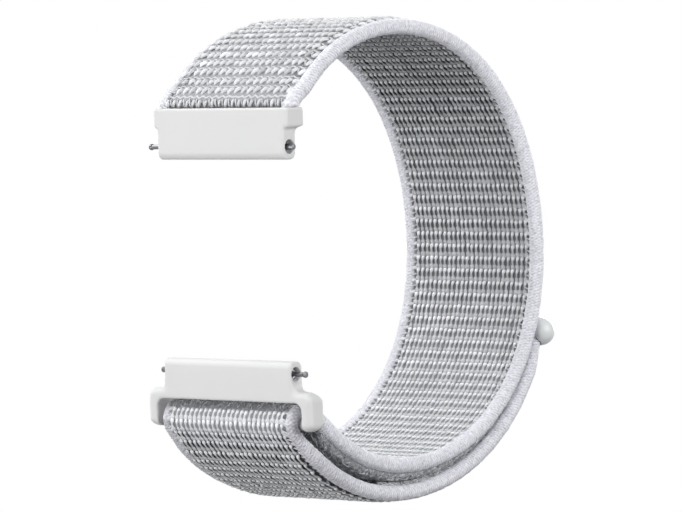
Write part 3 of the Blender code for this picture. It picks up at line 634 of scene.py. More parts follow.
def loose_strands(seed, surfaces, share, half_length, radius):
    """Short bowed yarns scattered over surfaces of (s, x, h) points, lying every way.

    share is the number of strands to a point of the surface.
    """
    rng = np.random.default_rng(seed)
    u = half_length * np.linspace(-1, 1, 5)
    groups = []
    for surface in surfaces:
        count = (int(share * surface.shape[0] * surface.shape[1]), 1)
        station, place = (rng.integers(0, size, count) for size in surface.shape[:2])
        spot = surface[station, place] + rng.uniform(-STRAND_STRAY, STRAND_STRAY, (*count, 3)) * MM
        lean = rng.uniform(-STRAND_LEAN, STRAND_LEAN, count)
        bow = np.sign(surface[0, 0, 2]) * (STRAND_LIFT - STRAND_BOW * half_length * (u / half_length) ** 2)
        path = stacked(u * np.cos(lean), u * np.sin(lean), bow)
        tone = STRAND_TONE_STRAY * rng.standard_normal(count) + STRAND_TONE
        groups.append(yarns(spot + path, radius, radius, 5, tone))
    return joined(*groups)


# The loop face: its strays along and off it, and sizes of the cords, loops and links. A half
# length along the band is a share of the row pitch, and so is where a cord or a link lies. Leans,
# with their strays, and the links' places across are in mm.
LOOP_MARGIN, LOOP_STRAY = -0.1 * MM, 0.03 * MM
CORD_PLACE, CORD_ARCH, CORD_SHIFT, CORD_DEPTH = 0.44, 0.07, 0.2 * MM, 0.24 * MM
CORD_HALF_WIDTH, CORD_HALF_THICKNESS = 0.12 * MM, 0.11 * MM
LOOP_HALF_LENGTH, LOOP_LENGTH_STRAY, LOOP_WIDTH_STRAY, LOOP_STRAY_X = 0.24, 0.03, 0.10, 0.045 * MM
LOOP_LEAN, LOOP_UPRIGHT_LEAN, LOOP_LEAN_STRAY = 0.05, 0.24, 0.05
LOOP_FLAT_WIDTH, LOOP_UPRIGHT_WIDTH = 0.72, 0.28
UPRIGHT_FROM, UPRIGHT_LENGTH = 1.0 * MM, 1.2 * MM
LOOP_HALF_THICKNESS, LOOP_PROUD, LOOP_TUCK = 0.24 * MM, 0.16 * MM, 0.30 * MM
PROUD_FROM, PROUD_LENGTH = 0.3 * MM, 0.6 * MM
LINK_X, LINK_STRAY_X, LINK_LEAN, LINK_STRAY = 0.46, 0.06, 0.20, 0.04 * MM
LINK_PLACE, LINK_HALF_LENGTH = 0.05, 0.30
LINK_HALF_WIDTH, LINK_HALF_THICKNESS = 0.13 * MM, 0.12 * MM
LINK_DEPTH, LINK_DEPTH_STRAY, LINK_TUCK, LINK_EDGE = 0.16 * MM, 0.06 * MM, 0.14 * MM, 0.4 * MM


def valley_cords(rows, weave, seed):
    """Thin cords across the band in the valleys between the rows of loops, arched over each loop."""
    rng = np.random.default_rng(seed)
    across = shares_across(weave.loop_pitch, LOOP_MARGIN)
    u = np.linspace(-1, 1, 4 * (len(across) - 1) + 1) * across[-1]
    wave = np.cos(pi * (len(across) - 1) * (u / across[-1] + 1))
    size, row = (len(rows), len(u)), rows[:, None]
    s = row + weave.row_pitch * (CORD_PLACE + CORD_ARCH * wave) + LOOP_STRAY * rng.standard_normal(size)
    x = BAND.half_pad(row) * u + CORD_SHIFT
    ends = np.sqrt(1 - (0.97 * np.abs(u) / across[-1]) ** 40)
    h = crown(s, x, BAND.loop_face(s), LOOP_EDGE) - CORD_DEPTH + LOOP_STRAY * rng.standard_normal(size)
    tone = rng.standard_normal((len(rows), 1))
    return yarns(stacked(s, x, h), CORD_HALF_WIDTH * ends, CORD_HALF_THICKNESS * ends, 5, tone)


def loop_yarns(rows, weave, seed):
    """Plump brushed loops in rows, leaning to one side, with their ends tucked into the ground."""
    u = np.linspace(-1, 1, 6)
    s0, column = pairs(rows, shares_across(weave.loop_pitch, LOOP_MARGIN))
    stray = strays(seed, (len(s0), 1))
    upright = smooth_step((s0 - BAND.mouth - UPRIGHT_FROM) / UPRIGHT_LENGTH)
    x0 = column * BAND.half_pad(s0) + stray(LOOP_STRAY_X)
    s = s0 + stray(LOOP_STRAY) + (LOOP_HALF_LENGTH + stray(LOOP_LENGTH_STRAY)) * weave.row_pitch * u
    x = x0 + (LOOP_LEAN + LOOP_UPRIGHT_LEAN * upright + stray(LOOP_LEAN_STRAY)) * MM * u
    thick = LOOP_HALF_THICKNESS * oval(0.75 * u)
    share = LOOP_FLAT_WIDTH + LOOP_UPRIGHT_WIDTH * upright
    wide = weave.loop_width / 2 * share * (1 + stray(LOOP_WIDTH_STRAY))
    across = wide * oval(0.7 * u) * (1 + 0.25 * u)
    face = crown(s, x, BAND.loop_face(s), LOOP_EDGE)
    proud = LOOP_PROUD * smooth_step((face - PROUD_FROM) / PROUD_LENGTH)
    h = face + proud + stray(LOOP_STRAY) - thick - LOOP_TUCK * np.abs(u) ** 2.4
    return yarns(stacked(s, x, h), across, thick, 6, stray(2.0) - 0.5)


def loop_links(rows, weave, seed):
    """Thin strokes between neighbouring loops, leaning the other way, with broken heights."""
    u = np.linspace(-1, 1, 5)
    s0, column = pairs(rows, shares_across(weave.loop_pitch, LOOP_MARGIN))
    stray = strays(seed, (len(s0), 1))
    x = column * BAND.half_pad(s0) + (LINK_X + stray(LINK_STRAY_X) - LINK_LEAN * u) * MM
    s = s0 + stray(LINK_STRAY) + (LINK_PLACE + LINK_HALF_LENGTH * u) * weave.row_pitch
    thick = LINK_HALF_THICKNESS * oval(0.8 * u)
    past_edge = smooth_step((np.abs(x) - BAND.half_pad(s)) / LINK_EDGE)
    face = crown(s, x, BAND.loop_face(s), LOOP_EDGE) * (1 - 0.5 * past_edge)
    h = face - LINK_DEPTH + stray(LINK_DEPTH_STRAY) - thick - LINK_TUCK * u**2
    return yarns(stacked(s, x, h), LINK_HALF_WIDTH * oval(0.7 * u), thick, 5, stray(2.0))


# Stitches: half widths of the two to a row, length and height, and where they start and finish,
# the last as shares of the roll's radius
STITCH_WIDE, STITCH_THIN, STITCH_HALF_THICKNESS = 0.24 * MM, 0.09 * MM, 0.12 * MM
STITCH_INSET, STITCH_LENGTH, STITCH_STRAY = 0.30 * MM, 0.30 * MM, 0.03 * MM
STITCH_TOP, STITCH_DEPTH, STITCH_OUT, STITCH_RISE = 0.6 * MM, 0.14 * MM, 1.45, 0.62


def edge_stitches(rows, side, weave, seed):
    """Slanted stitches that bind the pad to the rolls, two to a row, with a dark eye after each."""
    u = np.linspace(0, 1, 5)
    s0, edge = pairs(np.concatenate((rows, rows + 0.5 * weave.row_pitch)), (-1.0, 1.0))
    stray = strays(seed, (len(s0), 1))
    wide = np.where(np.arange(len(s0)) < len(s0) // 2, STITCH_WIDE, STITCH_THIN)[:, None]
    inner, roll = BAND.half_pad(s0) - STITCH_INSET, BAND.roll(s0)
    outer = BAND.half(s0) - STITCH_OUT * roll
    s = s0 + STITCH_LENGTH * (u - 0.5) + stray(STITCH_STRAY)
    x = edge * (inner + (outer - inner) * u)
    face = BAND.rib_face(s) if side < 0 else BAND.loop_face(s)
    start = np.minimum(face, STITCH_TOP) - STITCH_DEPTH
    h = side * (start + (STITCH_RISE * roll - start) * u)
    return yarns(stacked(s, x, h), wide, STITCH_HALF_THICKNESS, 6, stray(1))


# The ground: its steps along the band, how far it reaches past the pad, its least height, and how
# far it sinks at the mouth
GROUND_STEP, GROUND_PAST, GROUND_LEAST = 0.27 * MM, 0.12 * MM, 0.05 * MM
MOUTH_SINK, MOUTH_SINK_LENGTH = 0.30 * MM, 0.4 * MM
GROUND_SHARES = np.array((-1, -0.98, -0.93, -0.7, -0.35, 0, 0.35, 0.7, 0.93, 0.98, 1))
# How much shallower the ribbed ground is where its gaps are fuller, and the painted light it gets there,
# turning to painted shade at the ring's top
GROUND_FILL, GROUND_PAINTED_LIGHT = 0.45, 14.0


def ground_slab(name, start, end, side, depth):
    """The weave under the yarns of one face: a slab from the band's line out to near the face.

    The slab is a section of (x, h) points carried along the line, fuller where the gaps are filled; on the
    ribbed face it is painted lighter there and painted darker at the ring's top.
    """
    s = np.linspace(start, end, max(8, int((end - start) / GROUND_STEP)))[:, None]
    x = GROUND_SHARES * (BAND.half_pad(s) + GROUND_PAST)
    face, edge = (BAND.rib_face(s), RIB_EDGE) if side < 0 else (BAND.loop_face(s), LOOP_EDGE)
    past_mouth = smooth_step((s - BAND.mouth - MOUTH_SINK_LENGTH) / MOUTH_SINK_LENGTH)
    fill = BAND.fill(s) * (side < 0)
    sink = MOUTH_SINK * (1 - past_mouth) * (side > 0)
    height = crown(s, x, face, edge) - depth * (1 - GROUND_FILL * fill) - sink
    height = np.maximum(height, GROUND_LEAST) * (1 - 0.6 * np.abs(GROUND_SHARES) ** 24)
    outer = stacked(s, x + PAD_SHIFT, side * height)
    inner = stacked(s, x + PAD_SHIFT, 0 * height)[:, ::-1]
    rings = BAND.place(np.concatenate((outer, inner), 1))
    # Painted light on the ribbed ground where its gaps are fuller, painted shade at the ring's top
    return make_piece(name, *closed_run(rings), shade=np.repeat(GROUND_PAINTED_LIGHT * fill.ravel(), rings.shape[1]))


def closed_run(rings):
    """Points, faces and caps of rings of as many points each, joined one to the next."""
    stations, sides = rings.shape[:2]
    row = (np.arange(stations - 1) * sides)[:, None]
    i = np.arange(sides)[None]
    j = (i + 1) % sides
    faces = stacked(row + i, row + j, row + sides + j, row + sides + i).reshape(-1, 4)
    last = (stations - 1) * sides
    return rings.reshape(-1, 3), faces, np.stack((np.arange(sides)[::-1], last + np.arange(sides)))


# A roll: points round it, yarn turns, steps to a yarn, weights of its two sets of yarns and the
# level that is taken off their sum, the height of its yarns, its strays in mm, and its shades:
# painted shade in the grooves, two random tones, and painted shade round the fold
ROLL_SIDES, ROLL_TURNS, ROLL_STEPS, ROLL_SEED = 36, 6, 5, 7
YARN_WEIGHTS, YARN_LEVEL = (0.6, 0.4), 0.8
ROLL_RELIEF, ROLL_WANDER, ROLL_GRAIN = 0.20 * MM, 0.012, 0.02
GROOVE_PAINTED_SHADE, WANDER_TONE, GRAIN_TONE, FOLD_PAINTED_SHADE = 13.0, 0.5, 1.5, 3.6


def edge_roll(name, side, start, end, pitch):
    """A rolled edge: a circle carried along the line, raised into two sets of crossing yarns.

    The radius is the roll's own plus a weighted mean of a half round for each set, found from the
    share of the distance and the turn; the yarns flatten towards the pad. The grooves get painted
    shade and the raised yarns a little painted light.
    """
    s = np.linspace(start, end, max(8, int((end - start) / (pitch / ROLL_STEPS))))[:, None]
    turn = full_turn(ROLL_SIDES)
    slanted = [(s / pitch + way * side * ROLL_TURNS * turn / tau) % 1 for way in (1, -1)]
    rng = np.random.default_rng(ROLL_SEED)
    wander = np.interp(s, np.linspace(0, BAND.end, 400), rng.standard_normal(400))
    outward = 0.25 + 0.75 * smooth_step(0.6 + 0.9 * np.cos(turn))
    half_round = sum(weight * oval(2 * share - 1) for weight, share in zip(YARN_WEIGHTS, slanted))
    raised = half_round - YARN_LEVEL
    grain = rng.standard_normal((len(s), ROLL_SIDES))
    grain = (grain + np.roll(grain, 1, 0) + np.roll(grain, 1, 1) + np.roll(np.roll(grain, 1, 0), 1, 1)) / 2
    middle = BAND.roll(s) + side * ROLL_DIFFERENCE
    radius = middle + ROLL_RELIEF * raised * outward + MM * (ROLL_WANDER * wander + ROLL_GRAIN * grain)
    rings = stacked(s, side * (BAND.half(s) - middle + radius * np.cos(turn)), radius * np.sin(turn))
    # Painted shade in the grooves, a little painted light on the raised yarns, and painted shade round the
    # fold, with random tones
    shade = (GROOVE_PAINTED_SHADE * raised * outward + WANDER_TONE * wander + GRAIN_TONE * grain
             - FOLD_PAINTED_SHADE * BAND.painted_roll_shade(s))
    return make_piece(name, *closed_run(BAND.place(rings)), shade=shade.ravel())


# ---- Moulded shapes, as distance fields ----


def soft_join(a, b, blend):
    """The lesser of two distances, with the inner corner filled over a blend length."""
    return np.minimum(a, b) - np.maximum(blend - np.abs(a - b), 0) ** 2 / (4 * blend)


def soft_cut(a, b, blend):
    """What is left of a after b is taken away, with the edge rounded over a blend length."""
    return -soft_join(-a, b, blend)


def crossed(flat, profile, edge):
    """What two outlines seen from different sides have in common, with round edges."""
    p, q = flat + edge, profile + edge
    return np.hypot(np.maximum(p, 0), np.maximum(q, 0)) + np.minimum(np.maximum(p, q), 0) - edge


def rounded_rect(a, b, low, high, corner):
    """Distance in a plane to a rectangle with round corners."""
    return crossed(np.abs(a - (low[0] + high[0]) / 2) - (high[0] - low[0]) / 2,
                   np.abs(b - (low[1] + high[1]) / 2) - (high[1] - low[1]) / 2, corner)


# Both connectors: the neck's corners, how far it stays below the shell's far edge, where the
# front's lean ends, and the fillet behind the neck with the distance over which it grows
NECK_CORNER, NOSE_RADIUS, NECK_SUNK, LEAN_END = 0.3 * MM, 0.95 * MM, 0.3 * MM, 0.2 * MM
BACK_FILLET, BACK_FILLET_EASE, LEAST_BLEND = 1.2 * MM, 0.6 * MM, 0.001 * MM
# Half widths, corners and fronts of the lever's windows in the neck and in the tube
NECK_WINDOW = 0.75 * MM, 0.3 * MM, 0.2 * MM
TUBE_WINDOW = 0.45 * MM, 0.2 * MM, 0.1 * MM
HOLE_EDGE = 0.1 * MM
UPPER_CORNER, UPPER_RUN_ON, UPPER_FILLET, UPPER_EDGE = 0.35 * MM, 1.0 * MM, 0.5 * MM, 0.28 * MM
POCKET_CORNER, POCKET_EDGE = 0.5 * MM, 0.12 * MM
LOWER_CORNER, LOWER_SIDE_CORNER, LOWER_RUN_ON, LOWER_FILLET = 1.25 * MM, 1.2 * MM, 0.8 * MM, 1.6 * MM
SLOT_CORNER, SLOT_EDGE, SLOT_RUN_ON = 1.0 * MM, 0.3 * MM, 9 * MM
LOOP_BAR_SUNK, LOOP_BAR_FILLET = 0.4 * MM, 0.15 * MM
# The lower shell's edge, in mm: it grows once away from the neck and once more towards the wrist
LEAST_EDGE, EDGE_GROWTH = 0.25, 0.5
EDGE_FROM, EDGE_EASE, EDGE_BACK_FROM, EDGE_BACK_EASE = 1.0 * MM, 1.5 * MM, 0.3 * MM, 1.2 * MM
TAB_POCKET_HALF, TAB_POCKET_HALF_DEPTH, TAB_POCKET_CORNER = 10.1 * MM, 0.75 * MM, 0.6 * MM
TAB_POCKET_FLOOR, TAB_POCKET_EDGE, TAB_FLAT_EDGE = 0.7 * MM, 0.15 * MM, 0.3 * MM
TUBE_CORNER = 0.14 * MM


def centred_rect(a, b, half_a, half_b, corner):
    return rounded_rect(a, b, (-half_a, -half_b), (half_a, half_b), corner)


def connector_profile(y, w, step, far, corner):
    """A connector's side view, with w from the spring bar to the shell's far edge.

    It is the neck's round nose joined to the shell, with a fillet behind. The front is one face
    that leans back a little, worked out by moving y before the shapes are taken.
    """
    lean = FRONT_LEAN * np.clip(w / far, 0, 1)
    y = y - lean * np.clip((LEAN_END - y) / (LEAN_END - SHELL_FRONT), 0, 1)
    half = NECK_HALF_THICKNESS
    neck = rounded_rect(y, w, (-half, -NECK_END), (half, far - NECK_SUNK), NOSE_RADIUS)
    shell = rounded_rect(y, w, (-half, step), (SHELL_BACK, far), corner)
    return soft_join(neck, shell, BACK_FILLET * smooth_step(y / BACK_FILLET_EASE) + LEAST_BLEND)


def lever_window(x, y, across, middle, half, corner, front):
    """A window as long as the lever's travel, from a plane in front out to the wrist side."""
    return np.maximum(centred_rect(x - middle, across, TIP_TRAVEL / 2 + half, half, corner), front - y)


def with_bar_holes(body, x, y, w, lever_side, shift):
    """A connector with the bore for its spring bar and the window for the lever."""
    bore = np.hypot(y, w) - BORE_RADIUS
    middle = lever_side * LEVER_PLACE + shift - lever_side * TIP_TRAVEL / 2
    return soft_cut(soft_cut(body, bore, HOLE_EDGE), lever_window(x, y, w, middle, *NECK_WINDOW), HOLE_EDGE)


def upper_field(x, y, z):
    w = z - BAR_HEIGHT
    far, step = UPPER_TOP - BAR_HEIGHT, UPPER_STEP - BAR_HEIGHT
    neck = rounded_rect(x, w, (-NECK_HALF, -NECK_END), (NECK_HALF, step + UPPER_RUN_ON), NECK_CORNER)
    shell = rounded_rect(x, w, (-UPPER_SHELL_HALF, step), (UPPER_SHELL_HALF, far), UPPER_CORNER)
    profile = connector_profile(y, w, step, far, UPPER_CORNER)
    body = crossed(soft_join(neck, shell, UPPER_FILLET), profile, UPPER_EDGE)
    pocket = centred_rect(x, y - SHELL_MIDDLE, POCKET_HALF, POCKET_HALF_DEPTH, POCKET_CORNER)
    body = soft_cut(body, np.maximum(pocket, UPPER_TOP - POCKET_DEPTH - z), POCKET_EDGE)
    return with_bar_holes(body, x, y, w, -1, UPPER_BAR_SHIFT)


def lower_field(x, y, z):
    w = -z - BAR_HEIGHT
    far, step = -WALL_BOTTOM - BAR_HEIGHT, LOWER_STEP - BAR_HEIGHT
    neck = rounded_rect(x, w, (-NECK_HALF, -NECK_END), (NECK_HALF, step + LOWER_RUN_ON), NECK_CORNER)
    shell = rounded_rect(x, w, (-LOWER_SHELL_HALF, step), (LOWER_SHELL_HALF, far), LOWER_CORNER)
    on_shell = smooth_step((w - EDGE_FROM) / EDGE_EASE)
    on_back = smooth_step((y - EDGE_BACK_FROM) / EDGE_BACK_EASE)
    edge = (LEAST_EDGE + (EDGE_GROWTH + EDGE_GROWTH * on_back) * on_shell) * MM
    profile = connector_profile(y, w, step, far, LOWER_SIDE_CORNER)
    body = crossed(soft_join(neck, shell, LOWER_FILLET), profile, edge)
    slot_from, slot_to = SLOT_TOP - BAR_HEIGHT, far + SLOT_RUN_ON
    slot = rounded_rect(x, w, (-SLOT_HALF, slot_from), (SLOT_HALF, slot_to), SLOT_CORNER)
    bar = np.hypot(y - LOOP_BAR[0], z - LOOP_BAR[1]) - LOOP_BAR_RADIUS
    bar = np.maximum(bar, np.abs(x) - SLOT_HALF - LOOP_BAR_SUNK)
    body = soft_join(soft_cut(body, slot, SLOT_EDGE), bar, LOOP_BAR_FILLET)
    return with_bar_holes(body, x, y, w, 1, LOWER_BAR_SHIFT)


def tab_frame():
    """Centre, outward direction and heading of the end tab in the (y, z) plane."""
    angle = np.array(TAB_ANGLE)
    on_line, heading = ring_points(angle, tail_gap(angle))
    side = left_of(heading)
    return on_line + side * TAB_OFFSET, side, heading


def tab_field(x, y, z):
    centre, side, heading = tab_frame()
    out = (y - centre[0]) * side[0] + (z - centre[1]) * side[1]
    ahead = (y - centre[0]) * heading[0] + (z - centre[1]) * heading[1]
    over = np.maximum(np.abs(x) - (TAB_HALF - TAB_RADIUS), 0)
    body = np.sqrt(over**2 + out**2 + ahead**2) - TAB_RADIUS
    body = -soft_join(-body, out + TAB_FLAT, TAB_FLAT_EDGE)
    pocket = centred_rect(x, out + TAB_OFFSET, TAB_POCKET_HALF, TAB_POCKET_HALF_DEPTH, TAB_POCKET_CORNER)
    return soft_cut(body, np.maximum(pocket, -ahead - TAB_POCKET_FLOOR), TAB_POCKET_EDGE)


def tube_field(x, y, z, lever_side, height):
    """A thin tube with an inturned lip at each end and a window for the lever."""
    radius, along = np.hypot(y, z - height), np.abs(x)
    outside = centred_rect(along, radius, TUBE_HALF, TUBE_RADIUS, TUBE_CORNER)
    hollow = np.maximum(radius - TUBE_RADIUS + TUBE_WALL, along - TUBE_HALF + TUBE_LIP)
    body = np.maximum(outside, -np.minimum(hollow, radius - LIP_HOLE_RADIUS))
    middle = lever_side * (LEVER_PLACE - TIP_TRAVEL / 2)
    return np.maximum(body, -lever_window(x, y, z - height, middle, *TUBE_WINDOW))


# How the net settles onto zero: the step that a slope is taken over, its least square, and the
# longest single move
SLOPE_STEP, LEAST_SLOPE, LONGEST_MOVE = 0.01 * MM, 0.25, 0.06 * MM


def from_axis(axis, first, second, third):
    """Three values put in the order of the grid's axes, when the first belongs to the given one."""
    return ((first, second, third) * 2)[3 - axis : 6 - axis]


def surface_net(name, field, xs, ys, zs, turns=3):
    """The closed surface where a distance field is zero, on a grid with uneven steps.

    Each grid cell that the surface crosses gets one point, the mean of where its edges cross
    zero, then moved along the field's slope onto zero. Each crossed grid edge gets one face.
    """
    grid = np.meshgrid(xs, ys, zs, indexing="ij")
    values = field(*grid)
    cells = tuple(n - 1 for n in values.shape)
    total, hits = np.zeros((*cells, 3)), np.zeros(cells)
    start, end, inside = slice(0, -1), slice(1, None), slice(1, -1)
    for axis in range(3):
        for b in (start, end):
            for c in (start, end):
                low, high = from_axis(axis, start, b, c), from_axis(axis, end, b, c)
                v0, v1 = values[low], values[high]
                passed = (v0 < 0) != (v1 < 0)
                share = np.where(passed, v0 / np.where(passed, v0 - v1, 1), 0)
                for k in range(3):
                    total[..., k] += passed * (grid[k][low] + share * (grid[k][high] - grid[k][low]))
                hits += passed
    used = hits > 0
    number = np.full(cells, -1)
    number[used] = np.arange(used.sum())
    points = total[used] / hits[used][:, None]
    faces = []
    for axis in range(3):
        v0, v1 = (values[from_axis(axis, part, inside, inside)] < 0 for part in (start, end))
        for leaving in (True, False):
            at = np.stack(np.nonzero((v0 & ~v1) if leaving else (~v0 & v1)), -1)
            quad = np.stack([number[tuple((at + from_axis(axis, 0, b, c)).T)]
                             for b, c in ((0, 0), (1, 0), (1, 1), (0, 1))], -1)
            faces.append(quad if leaving else quad[:, ::-1])
    faces = np.concatenate(faces)
    for _ in range(turns):
        here = field(*points.T)
        slope = np.stack([
            (field(*(points + step).T) - field(*(points - step).T)) / (2 * SLOPE_STEP)
            for step in SLOPE_STEP * np.eye(3)], -1)
        size = np.maximum((slope**2).sum(1), LEAST_SLOPE)
        points = points - np.clip(here / size, -LONGEST_MOVE, LONGEST_MOVE)[:, None] * slope
    return make_piece(name, points, faces)


def uneven(low, high, fine, coarse, places):
    """Grid places from low to high: fine steps near the given stretches, coarse elsewhere."""
    steps, at = [], low
    while at < high:
        steps.append(at)
        near = any(a - fine <= at <= b for a, b in places)
        ahead = min((a - at for a, b in places if a > at), default=coarse)
        at += fine if near else min(coarse, max(ahead, fine))
    steps.append(at)
    return np.array(steps)


# ---- Turned steel ----

# Outlines in mm: place along the bar and radius, or height off the bar's axis and radius
SLIDING_TIP = (
    (4.85, 0.02), (4.85, 0.44), (4.89, 0.48), (9.0, 0.48), (9.05, 0.46), (9.05, 0.30),
    (9.12, 0.28), (9.9, 0.28), (10.9, 0.28), (11.22, 0.27), (11.26, 0.29), (11.26, 0.36),
    (11.29, 0.38), (11.5, 0.38), (11.57, 0.35), (11.6, 0.28), (11.6, 0.02))
FIXED_TIP = (
    (7.05, 0.02), (7.05, 0.44), (7.09, 0.48), (9.0, 0.48), (9.05, 0.46), (9.05, 0.38),
    (9.1, 0.36), (10.88, 0.36), (10.97, 0.32), (11.0, 0.26), (11.0, 0.02))
LEVER_STUD = (
    (0.53, 0.35), (1.15, 0.35), (1.24, 0.37), (1.25, 0.50), (1.29, 0.55), (1.49, 0.55),
    (1.54, 0.52), (1.55, 0.45), (1.50, 0.25), (1.49, 0.02))
ROUND_SIDES = 32
COIL_ENDS, COIL_TURNS, COIL_STEPS = (-6.93 * MM, 4.73 * MM), 12, 24
WIRE_RADIUS, WIRE_SIDES, COIL_RADIUS = 0.07 * MM, 8, 0.38 * MM
# The tube's grid: its steps, how far it goes past the tube, and where it is fine by the window
TUBE_FINE, TUBE_COARSE, TUBE_PAST, LIP_MARGIN = 0.06 * MM, 0.6 * MM, 0.1 * MM, 0.05 * MM
TUBE_SPAN, WINDOW_STRETCH = (-0.87 * MM, 0.88 * MM), (5.1 * MM, 7.6 * MM)


def turned(name, outline, height, shift, side):
    """An outline turned round the spring bar's axis, closed at both ends."""
    x, radius = np.array(outline).T[:, :, None] * MM
    turn = full_turn(ROUND_SIDES)
    return make_piece(name, *closed_run(stacked(
        side * x + shift, radius * np.cos(turn), height + radius * np.sin(turn))))


def lever_stud(name, height, shift, side):
    """The lever's outline turned round its own axis, square to the bar."""
    y, radius = np.array(LEVER_STUD).T[:, :, None] * MM
    turn = full_turn(ROUND_SIDES)
    return make_piece(name, *closed_run(stacked(
        side * LEVER_PLACE + shift + radius * np.cos(turn), y, height + radius * np.sin(turn))))


def bar_tube(name, height, shift, side):
    lip, end = TUBE_HALF - TUBE_LIP - LIP_MARGIN, TUBE_HALF + TUBE_PAST
    places = (-end, -lip), (lip, end), sorted(side * place for place in WINDOW_STRETCH)
    span = np.arange(*TUBE_SPAN, TUBE_FINE)
    tube = surface_net(name, lambda x, y, z: tube_field(x, y, z, side, height),
                       uneven(-end, end, TUBE_FINE, TUBE_COARSE, places), span, height + span, 2)
    tube.data.transform(Matrix.Translation(Vector((shift, 0, 0))))
    return tube


def coil(name, height, shift, side):
    """A round wire carried along a helix."""
    start, end = COIL_ENDS
    t = np.linspace(0, 1, COIL_TURNS * COIL_STEPS + 1)[:, None]
    turn, spin = tau * COIL_TURNS * t, full_turn(WIRE_SIDES)
    out = COIL_RADIUS + WIRE_RADIUS * np.cos(spin)
    x = side * (start + (end - start) * t) + shift + WIRE_RADIUS * np.sin(spin)
    return make_piece(name, *closed_run(stacked(x, out * np.cos(turn), height + out * np.sin(turn))))


# ---- Materials ----


def put(tree, kind, inputs=None, **settings):
    """Adds a shader node: settings are its own properties, inputs are socket values or links."""
    made = tree.nodes.new("ShaderNode" + kind)
    for name, value in settings.items():
        setattr(made, name, value)
    for socket, value in (inputs or {}).items():
        if isinstance(value, bpy.types.NodeSocket):
            tree.links.new(value, made.inputs[socket])
        else:
            made.inputs[socket].default_value = value
    return made


def noise(tree, place, scale, detail=2.0):
    return put(tree, "TexNoise", {"Vector": place, "Scale": scale, "Detail": detail}).outputs["Fac"]


def spread(tree, value, low, high, start=0.0, end=1.0, **settings):
    """A value from start to end, turned to one from low to high."""
    return put(tree, "MapRange", {"Value": value, "From Min": start, "From Max": end,
                                  "To Min": low, "To Max": high}, **settings).outputs["Result"]


def calc(tree, operation, *values):
    return put(tree, "Math", dict(enumerate(values)), operation=operation).outputs[0]


def shade_share(tree, middle):
    """The mesh's shade attribute, painted light and shade besides random tones, as a share of a colour, 5% to
    a unit.
    """
    shade = put(tree, "Attribute", attribute_name="shade").outputs["Fac"]
    return calc(tree, "MULTIPLY_ADD", shade, 0.05, middle)


def tinted(tree, colour, share):
    scaled = put(tree, "VectorMath", {0: tuple(colour)[:3], "Scale": share}, operation="SCALE")
    return scaled.outputs["Vector"]


def bumped(tree, height, strength, depth):
    bump = put(tree, "Bump", {"Height": height, "Strength": strength, "Distance": depth})
    return bump.outputs["Normal"]


def new_material(name):
    made = bpy.data.materials.new(name)
    made.use_nodes = True
    made.node_tree.nodes.clear()
    return made, made.node_tree


def finish_material(made, tree, inputs):
    shader = put(tree, "BsdfPrincipled", inputs)
    put(tree, "OutputMaterial", {"Surface": shader.outputs["BSDF"]})
    return made


def yarn_material(name, colour, roughness, sheen):
    """Drawn nylon filament yarn: satin, with fine lines along each yarn and a soft bloom.

    The filaments are about 0.02 mm thick; they are drawn 0.12 mm apart so that they show.
    """
    made, tree = new_material(name)
    place = put(tree, "UVMap", uv_map="yarn").outputs["UV"]
    slanted = put(tree, "Mapping", {"Vector": place, "Rotation": (0, 0, radians(14)), "Scale": (1.2, 8.3, 1)})
    lines = noise(tree, slanted.outputs["Vector"], 1.0)
    share = calc(tree, "MULTIPLY", shade_share(tree, 0.97), spread(tree, lines, 0.90, 1.05, 0.25, 0.75))
    return finish_material(made, tree, {
        "Base Color": tinted(tree, colour, share), "Roughness": roughness, "Sheen Weight": sheen,
        "Sheen Roughness": 0.4, "Normal": bumped(tree, lines, 0.5, 0.03 * MM)})


def cloth_material(name, colour, scale, depth, least):
    """Plain fabric on Object coordinates: matt, with a fine uneven grain; least is its darkest share."""
    made, tree = new_material(name)
    grain = noise(tree, put(tree, "TexCoord").outputs["Object"], scale, 3.0)
    share = calc(tree, "MULTIPLY", spread(tree, grain, least, 2.0 - least, 0.3, 0.7), shade_share(tree, 1.0))
    return finish_material(made, tree, {
        "Base Color": tinted(tree, colour, share), "Roughness": 0.75, "Sheen Weight": 0.15,
        "Normal": bumped(tree, grain, 0.6, depth)})


def plastic_material(name, colour, roughness, grain_size, depth, coat):
    """Injection moulded plastic: even colour, faint cloudiness and a fine mould grain."""
    made, tree = new_material(name)
    place = put(tree, "TexCoord").outputs["Object"]
    grain = noise(tree, place, 1 / grain_size)
    return finish_material(made, tree, {
        "Base Color": tinted(tree, colour, spread(tree, noise(tree, place, 250.0), 0.985, 1.015)),
        "Roughness": spread(tree, grain, roughness - 0.05, roughness + 0.05), "Specular IOR Level": 0.2,
        "Coat Weight": coat, "Coat Roughness": 0.05, "Normal": bumped(tree, grain, 0.25, depth)})


def steel_material(name, colour):
    """Turned stainless steel: bright, with fine rings round the axis from the tool."""
    made, tree = new_material(name)
    place = put(tree, "TexCoord").outputs["Object"]
    stretched = put(tree, "Mapping", {"Vector": place, "Scale": (1.0, 0.05, 0.05)})
    rings = noise(tree, stretched.outputs["Vector"], 9000.0)
    return finish_material(made, tree, {
        "Base Color": tuple(colour), "Metallic": 1.0, "Roughness": spread(tree, rings, 0.26, 0.42),
        "Normal": bumped(tree, rings, 0.3, 0.01 * MM)})


def shared(name, maker, *values):
    return bpy.data.materials.get(name) or maker(name, *values)


def dress(piece, material):
    piece.data.materials.append(material)


# ---- Settling the pieces: on a body, or baked in place ----

# How far the main stretch runs into the pocket and the tail's into the tab
POCKET_RUN, TAB_RUN = 1.6 * MM, 2.0 * MM


def across_fold(piece):
    """Bakes the piece's placement into its mesh and leaves it on no body."""
    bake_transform(piece)


